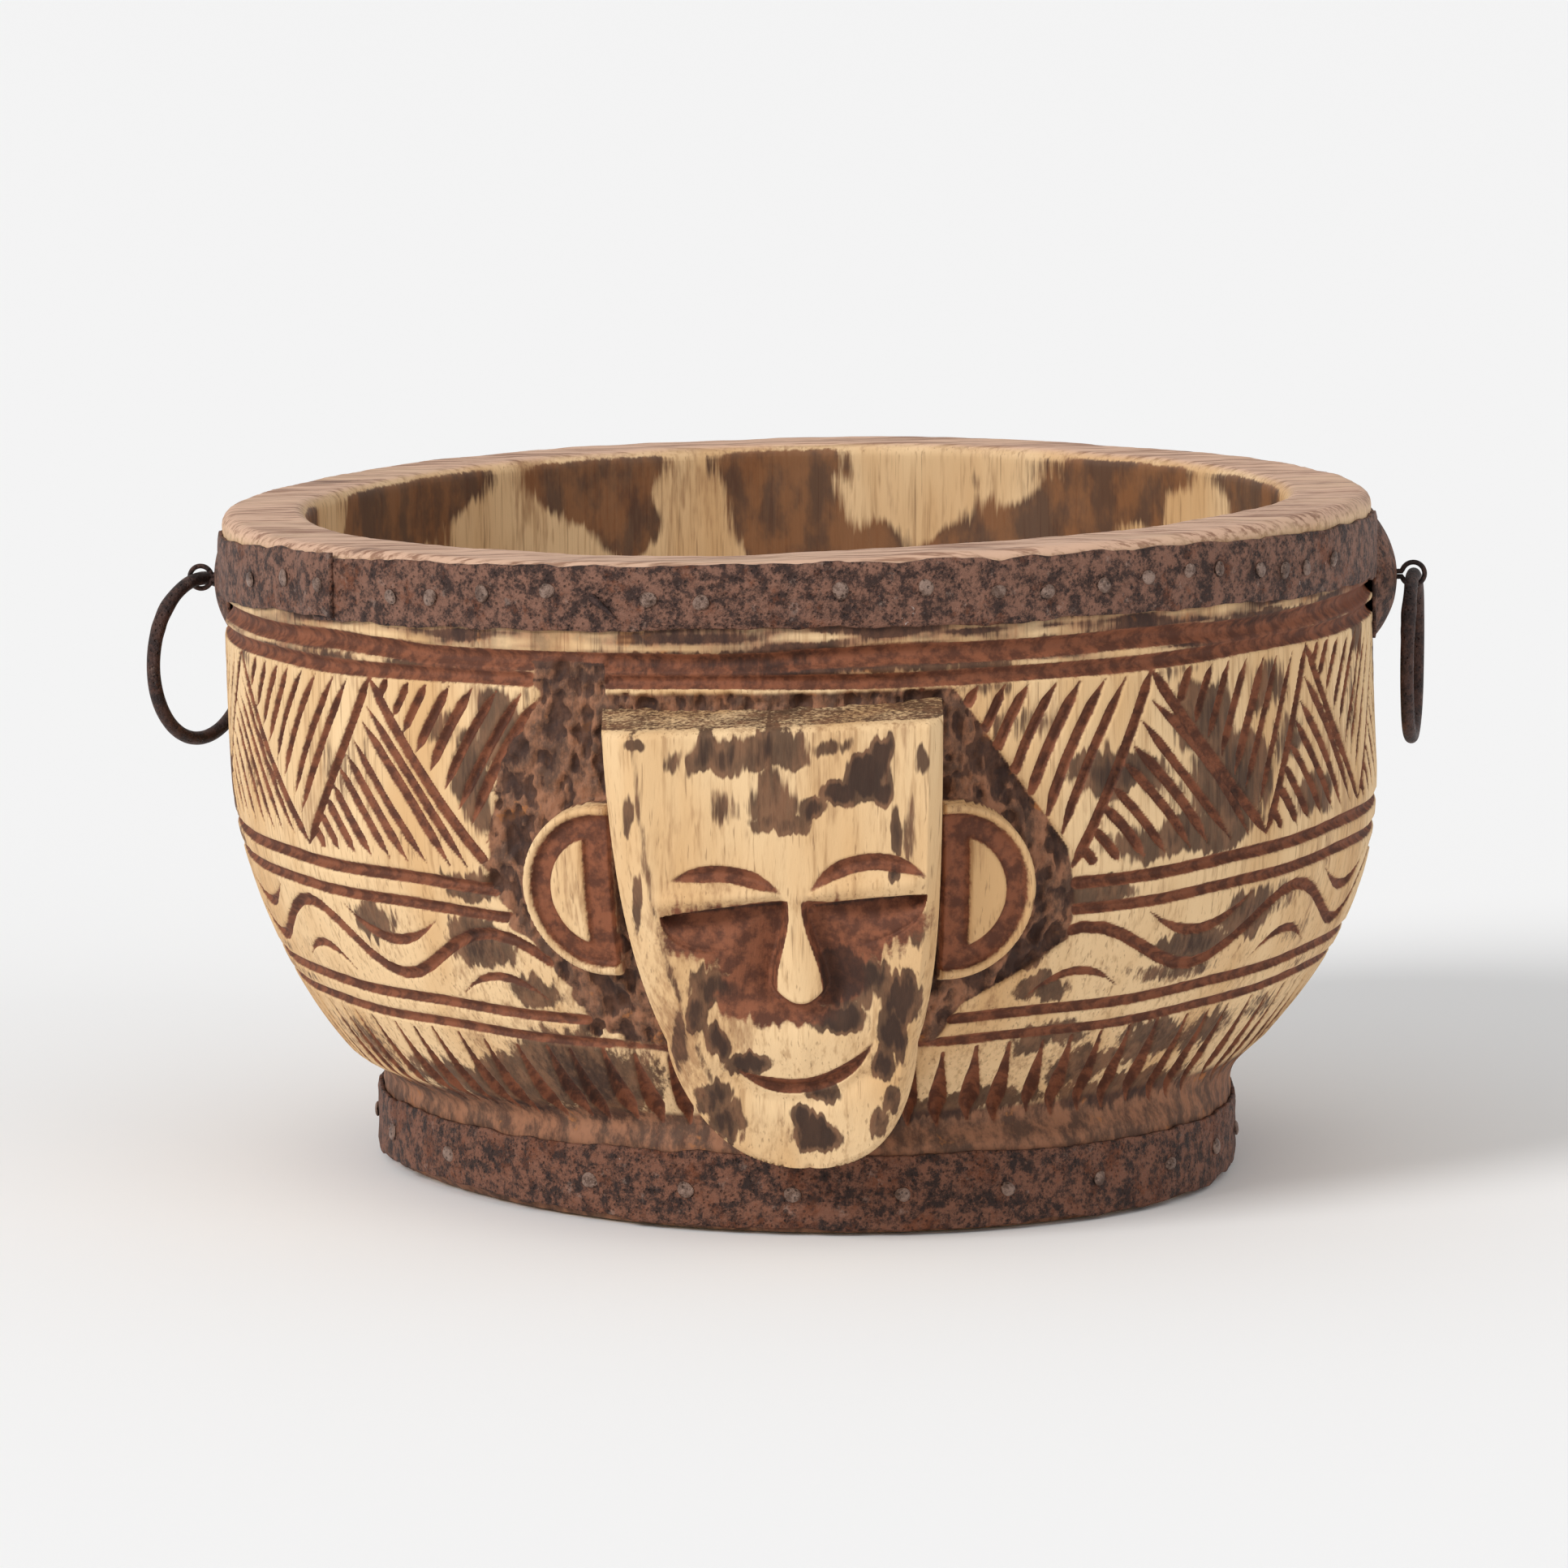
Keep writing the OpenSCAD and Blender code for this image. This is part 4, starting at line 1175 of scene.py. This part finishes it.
def make_nails(rng):
    out = WALL_R + STRAP_T + STRAP_SWELL
    front = [(az, out, nail_z(az)) for az in RIM_NAILS_FRONT]
    back = []
    for az in RIM_NAILS_BACK + RIM_NAILS_LEFT:
        on_lap = LAP_AZ - 2 * LAP_DEG < az < LAP_AZ
        back.append((az, out + (STRAP_T + 0.4) * on_lap, nail_z(az)))
    foot_z = FOOT_STRAP_Z + FOOT_STRAP_W / 2
    foot_az = FOOT_NAILS + [toe_azimuth(a) for a in TOE_NAILS]
    foot = [(az, foot_reach(az) + STRAP_T + STRAP_SWELL + 0.4, foot_z) for az in foot_az]
    return (
        join_shapes("rim_nails_front_iron", placed_nails(rng, front)),
        join_shapes("rim_nails_back_iron", placed_nails(rng, back)),
        join_shapes("foot_nails_iron", placed_nails(rng, foot, lean=False)),
    )


def toe_azimuth(az):
    """Azimuth about the bowl's axis of a point of the toe, from its azimuth about the toe's centre."""
    x, y, _ = wall_points(az, TOE_R, 0.0) + (*TOE, 0)
    return math.degrees(math.atan2(x, -y))


# ---- Tubes, for wire and rings ----

def tube(path, radii, sides=16, closed=False, squash=None):
    """A tube along path, in millimetres; radii is its radius at each point."""
    path = np.asarray(path, float)
    count = len(path)
    ahead = np.roll(path, -1, 0) - np.roll(path, 1, 0)
    if not closed:
        ahead[0], ahead[-1] = path[1] - path[0], path[-1] - path[-2]
    ahead /= np.linalg.norm(ahead, axis=1)[:, None]
    normal = np.cross(ahead[0], [0.3, 0.2, 0.9])
    verts, turn = [], np.linspace(0, 2 * math.pi, sides, endpoint=False)
    for i in range(count):
        normal = normal - ahead[i] * (normal @ ahead[i])
        normal /= np.linalg.norm(normal)
        side = np.cross(ahead[i], normal)
        shape = 1.0 if squash is None else squash(i / count, turn)
        ring = np.outer(np.cos(turn) * shape, normal) + np.outer(np.sin(turn) * shape, side)
        verts.append(path[i] + radii[i] * ring)
    verts = np.concatenate(verts)
    faces = grid_faces(count, sides, closed=True)
    if closed:
        last = (count - 1) * sides
        drift = int(np.argmin(np.linalg.norm(verts[:sides] - verts[last], axis=1)))
        for i in range(sides):
            j = (i + 1) % sides
            faces.append((last + i, last + j, (j + drift) % sides, (i + drift) % sides))
    else:
        faces.append(tuple(reversed(range(sides))))
        faces.append(tuple((count - 1) * sides + i for i in range(sides)))
    return verts, faces


def joint_of(side):
    """The frame's joint of the left or the right ring."""
    return next(j for j in frame["joints"] if j["name"] == f"ring_{side}_swing")


def make_ring(side, seed):
    """A hand-forged ring: slightly uneven wire, with the thicker scarf where its ends were welded."""
    joint = joint_of(side)
    pivot = np.array(joint["pos_m"]) / MM
    along = np.array(joint["axis"], float)
    along /= np.linalg.norm(along)
    count = 140
    turn = np.linspace(0, 2 * math.pi, count, endpoint=False)
    centre = pivot - (0, 0, RING_R)
    circle = np.stack([np.sin(turn), np.cos(turn)], 1)
    path = centre + RING_R * (np.outer(circle[:, 0], along) + np.outer(circle[:, 1], [0, 0, 1]))
    flat = path - centre
    away = np.abs((turn + math.pi) % (2 * math.pi) - math.pi)
    free = smooth(away, 0.25, 0.6)[:, None]
    weld_at, lip_at = (5.5, 5.2) if side == "left" else (0.9, 1.15)
    weld = bump(turn, weld_at, 0.16) + 0.5 * bump(turn, lip_at, 0.07)
    shape = np.stack([noise(flat, 30, seed + i) for i in range(3)], 1)
    path = path + free * 0.35 * shape
    half = RING_WIRE / 2
    radii = half * (0.985 + 0.035 * noise(flat, 11, seed + 5) * free[:, 0] + 0.09 * weld)

    def lumps(t, a):
        return 1 + 0.05 * np.sin(2 * a + 9 * t) * (weld[int(t * count) % count] + 0.25)

    return tube(path, radii, 20, closed=True, squash=lumps)


def make_eye(side):
    """The split wire: a round eye, two legs through boss and wall, and their ends bent flat inside."""
    az, z, _ = HANDLES[side]
    eye_r = (EYE_HOLE + EYE_WIRE) / 2
    at_r = WALL_R + STRAP_T + BOSS_H + eye_r + EYE_WIRE
    leg = EYE_WIRE / 2 + 0.05
    loop = [(at_r + eye_r * math.cos(t), z - eye_r * math.sin(t)) for t in np.linspace(-2.9, 2.9, 40)]
    inner = INNER_R - EYE_WIRE / 2 - 0.1
    legs_in = [(r, z + leg) for r in np.linspace(inner + 2, at_r - eye_r - 2.2, 14)]
    bend_in = [(inner, z + leg + rise) for rise in (15, 8, 2.2)]
    bend_in.append((inner + 0.7, z + leg + 0.7))
    up = bend_in + legs_in
    down = [(r, 2 * z - h) for r, h in reversed(up)]
    route = np.array(up + loop + down)
    path = leaning(wall_points(az, route[:, 0], route[:, 1]))
    radii = np.full(len(route), EYE_WIRE / 2)
    radii[0] = radii[-1] = EYE_WIRE / 4
    return tube(path, radii, 14)


def make_boss(side, seed):
    """A shallow domed cap of beaten sheet, bent to the wall at its edge, with a ragged rim."""
    az, z, _ = HANDLES[side]
    sides, rings = 96, 22
    turn = np.linspace(0, 2 * math.pi, sides, endpoint=False)
    hole = EYE_WIRE + 0.3
    share = np.linspace(0, 1, rings)
    reach = BOSS_D / 2
    ball_r = (reach ** 2 + BOSS_H ** 2) / (2 * BOSS_H)
    verts = []
    for layer in (0, 1):
        for s in (share if layer == 0 else share[::-1]):
            rho = hole + (reach + 1.2 - hole) * s
            ragged = 1 + 0.018 * np.sin(5 * turn + seed) * s + 0.012 * np.sin(11 * turn + 2 * seed) * s
            x, up = rho * ragged * np.cos(turn), rho * ragged * np.sin(turn)
            dome = np.maximum(np.sqrt(ball_r ** 2 - (rho * ragged) ** 2) - ball_r + BOSS_H, 0)
            bend = x ** 2 / (2 * WALL_R)
            flat = np.stack([x, up, np.zeros(sides)], 1)
            beaten = 0.25 * noise(flat, 9, seed) * smooth(s, 0.1, 0.4)
            out = WALL_R + STRAP_T + dome - bend + beaten - layer * 1.3
            verts.append(np.stack([x, up, out], 1))
    local = np.concatenate(verts)
    basis = outward_frame(az)
    points = local @ basis.T + np.array([0, 0, z])
    count = 2 * rings * sides
    faces = (np.array(grid_faces(2 * rings + 1, sides, closed=True, flip=True)) % count).tolist()
    return leaning(points), faces


def make_bent_nail():
    """A cut nail hammered over on the strap: its stub, the bend and a flattened, tapering point."""
    az, z = -19.5, 236.0
    a = math.radians(130)
    step = 12.0
    out = WALL_R + STRAP_T + 1.3
    basis = outward_frame(az)
    local = [(0, 0, -16), (0, 0, -6), (0, 0, -1.2), (0.3, -0.25, -0.2), (1.2, -1.0, 0.2)]
    local += [(math.sin(a) * s, math.cos(a) * s, 0.15 - 0.35 * s / step) for s in np.linspace(3, step, 6)]
    path = np.array(local) @ basis.T + wall_points(az, out, z)
    radii = [0.6, 0.9, 1.05, 1.25, 1.3] + list(np.linspace(1.35, 0.35, 6))
    return tube(leaning(path), radii, 8)


# ---- Room ----

CAMERA_LENS = 202.0
# In metres, as Blender takes them
CAMERA_AT = (-0.0067, -3.280, 0.600)
CAMERA_AIM = (-0.0067, 0.0, 0.139)


def make_room():
    far = 40000
    corners = [(-far, -far, 0), (far, -far, 0), (far, far, 0), (-far, far, 0)]
    floor = new_mesh("floor", corners, [(0, 1, 2, 3)])
    floor.location.z = -0.0004
    n = Nodes("pale_floor")
    n.shader.inputs["Base Color"].default_value = (0.94, 0.94, 0.94, 1)
    n.shader.inputs["Roughness"].default_value = 0.9
    floor.data.materials.append(n.material)
    world = bpy.data.worlds.new("studio")
    world.use_nodes = True
    world.node_tree.nodes["Background"].inputs["Color"].default_value = (1.0, 1.0, 1.0, 1)
    world.node_tree.nodes["Background"].inputs["Strength"].default_value = 0.62
    bpy.context.scene.world = world
    add_sun("key", (-2.1, -1.9, 1.7), 1.9, 20)
    add_sun("fill", (1.8, -1.6, 1.2), 0.3, 40)


def add_sun(name, towards, strength, softness):
    """Even light from the direction towards, with shadows softened by its width in degrees."""
    light = bpy.data.lights.new(name, "SUN")
    light.energy = strength
    light.angle = math.radians(softness)
    ob = bpy.data.objects.new(name, light)
    ob.location = towards
    ob.rotation_euler = Vector(towards).to_track_quat("Z", "Y").to_euler()
    bpy.context.scene.collection.objects.link(ob)


def make_camera():
    camera = bpy.data.cameras.new("camera")
    camera.sensor_width = 36.0
    camera.lens = CAMERA_LENS
    camera.clip_end = 60.0
    ob = bpy.data.objects.new("camera", camera)
    ob.location = CAMERA_AT
    ob.rotation_euler = (Vector(CAMERA_AIM) - ob.location).to_track_quat("-Z", "Y").to_euler()
    bpy.context.scene.collection.objects.link(ob)
    bpy.context.scene.camera = ob


# ---- Assembly ----

def main():
    rng = np.random.default_rng(17)
    bpy.context.scene.view_settings.view_transform = "Standard"
    make_camera()
    make_room()

    wood = carved_wood("carved_wood")
    finish_piece(make_wall(rng), wood, "carved_wood", "bowl", "bowl_body")
    finish_piece(make_hollow(), hollow_wood("hollow_wood"), "carved_wood", "bowl", "bowl_body")
    finish_piece(make_mask(), wood, "carved_wood", "bowl", "bowl_body")

    strap = iron("strap_iron", colour(58, 38, 32), colour(138, 98, 80), 0.1, 0.12, fleck_share=0.85)
    foot = iron("foot_iron", colour(50, 33, 28), colour(132, 88, 68), 0.14, 0.12, fleck_share=0.95)
    dark = iron("handle_iron", colour(46, 32, 30), colour(84, 58, 50), 0.04, 0.1, 0.5)
    nail = iron("nail_iron", colour(96, 72, 60), colour(150, 124, 110), 0.02, 0.24, 0.42)
    front_strap, back_strap = make_rim_straps()
    finish_piece(front_strap, strap, "strap_iron", "bowl", "rim_strap_front")
    finish_piece(back_strap, strap, "strap_iron", "bowl", "rim_strap_back")
    finish_piece(make_foot_strap(), foot, "strap_iron", "bowl", "foot_strap")
    for ob, node in zip(make_nails(rng), ("rim_nails_front", "rim_nails_back", "foot_nails")):
        finish_piece(ob, nail, "nail_iron", "bowl", node)
    finish_piece(new_mesh("bent_nail_iron", *make_bent_nail()), dark, "nail_iron", "bowl", "bent_nail")
    for seed, side in ((3, "left"), (8, "right")):
        boss = new_mesh(f"boss_{side}_iron", *make_boss(side, seed))
        finish_piece(boss, strap, "handle_iron", "bowl", f"boss_{side}")
        eye = new_mesh(f"eye_{side}_wire", *make_eye(side))
        finish_piece(eye, dark, "handle_iron", "bowl", f"eye_{side}")
        ring = new_mesh(f"ring_{side}_iron", *make_ring(side, seed))
        finish_piece(ring, dark, "handle_iron", f"ring_{side}", f"ring_{side}")


main()
bpy.context.view_layer.update()
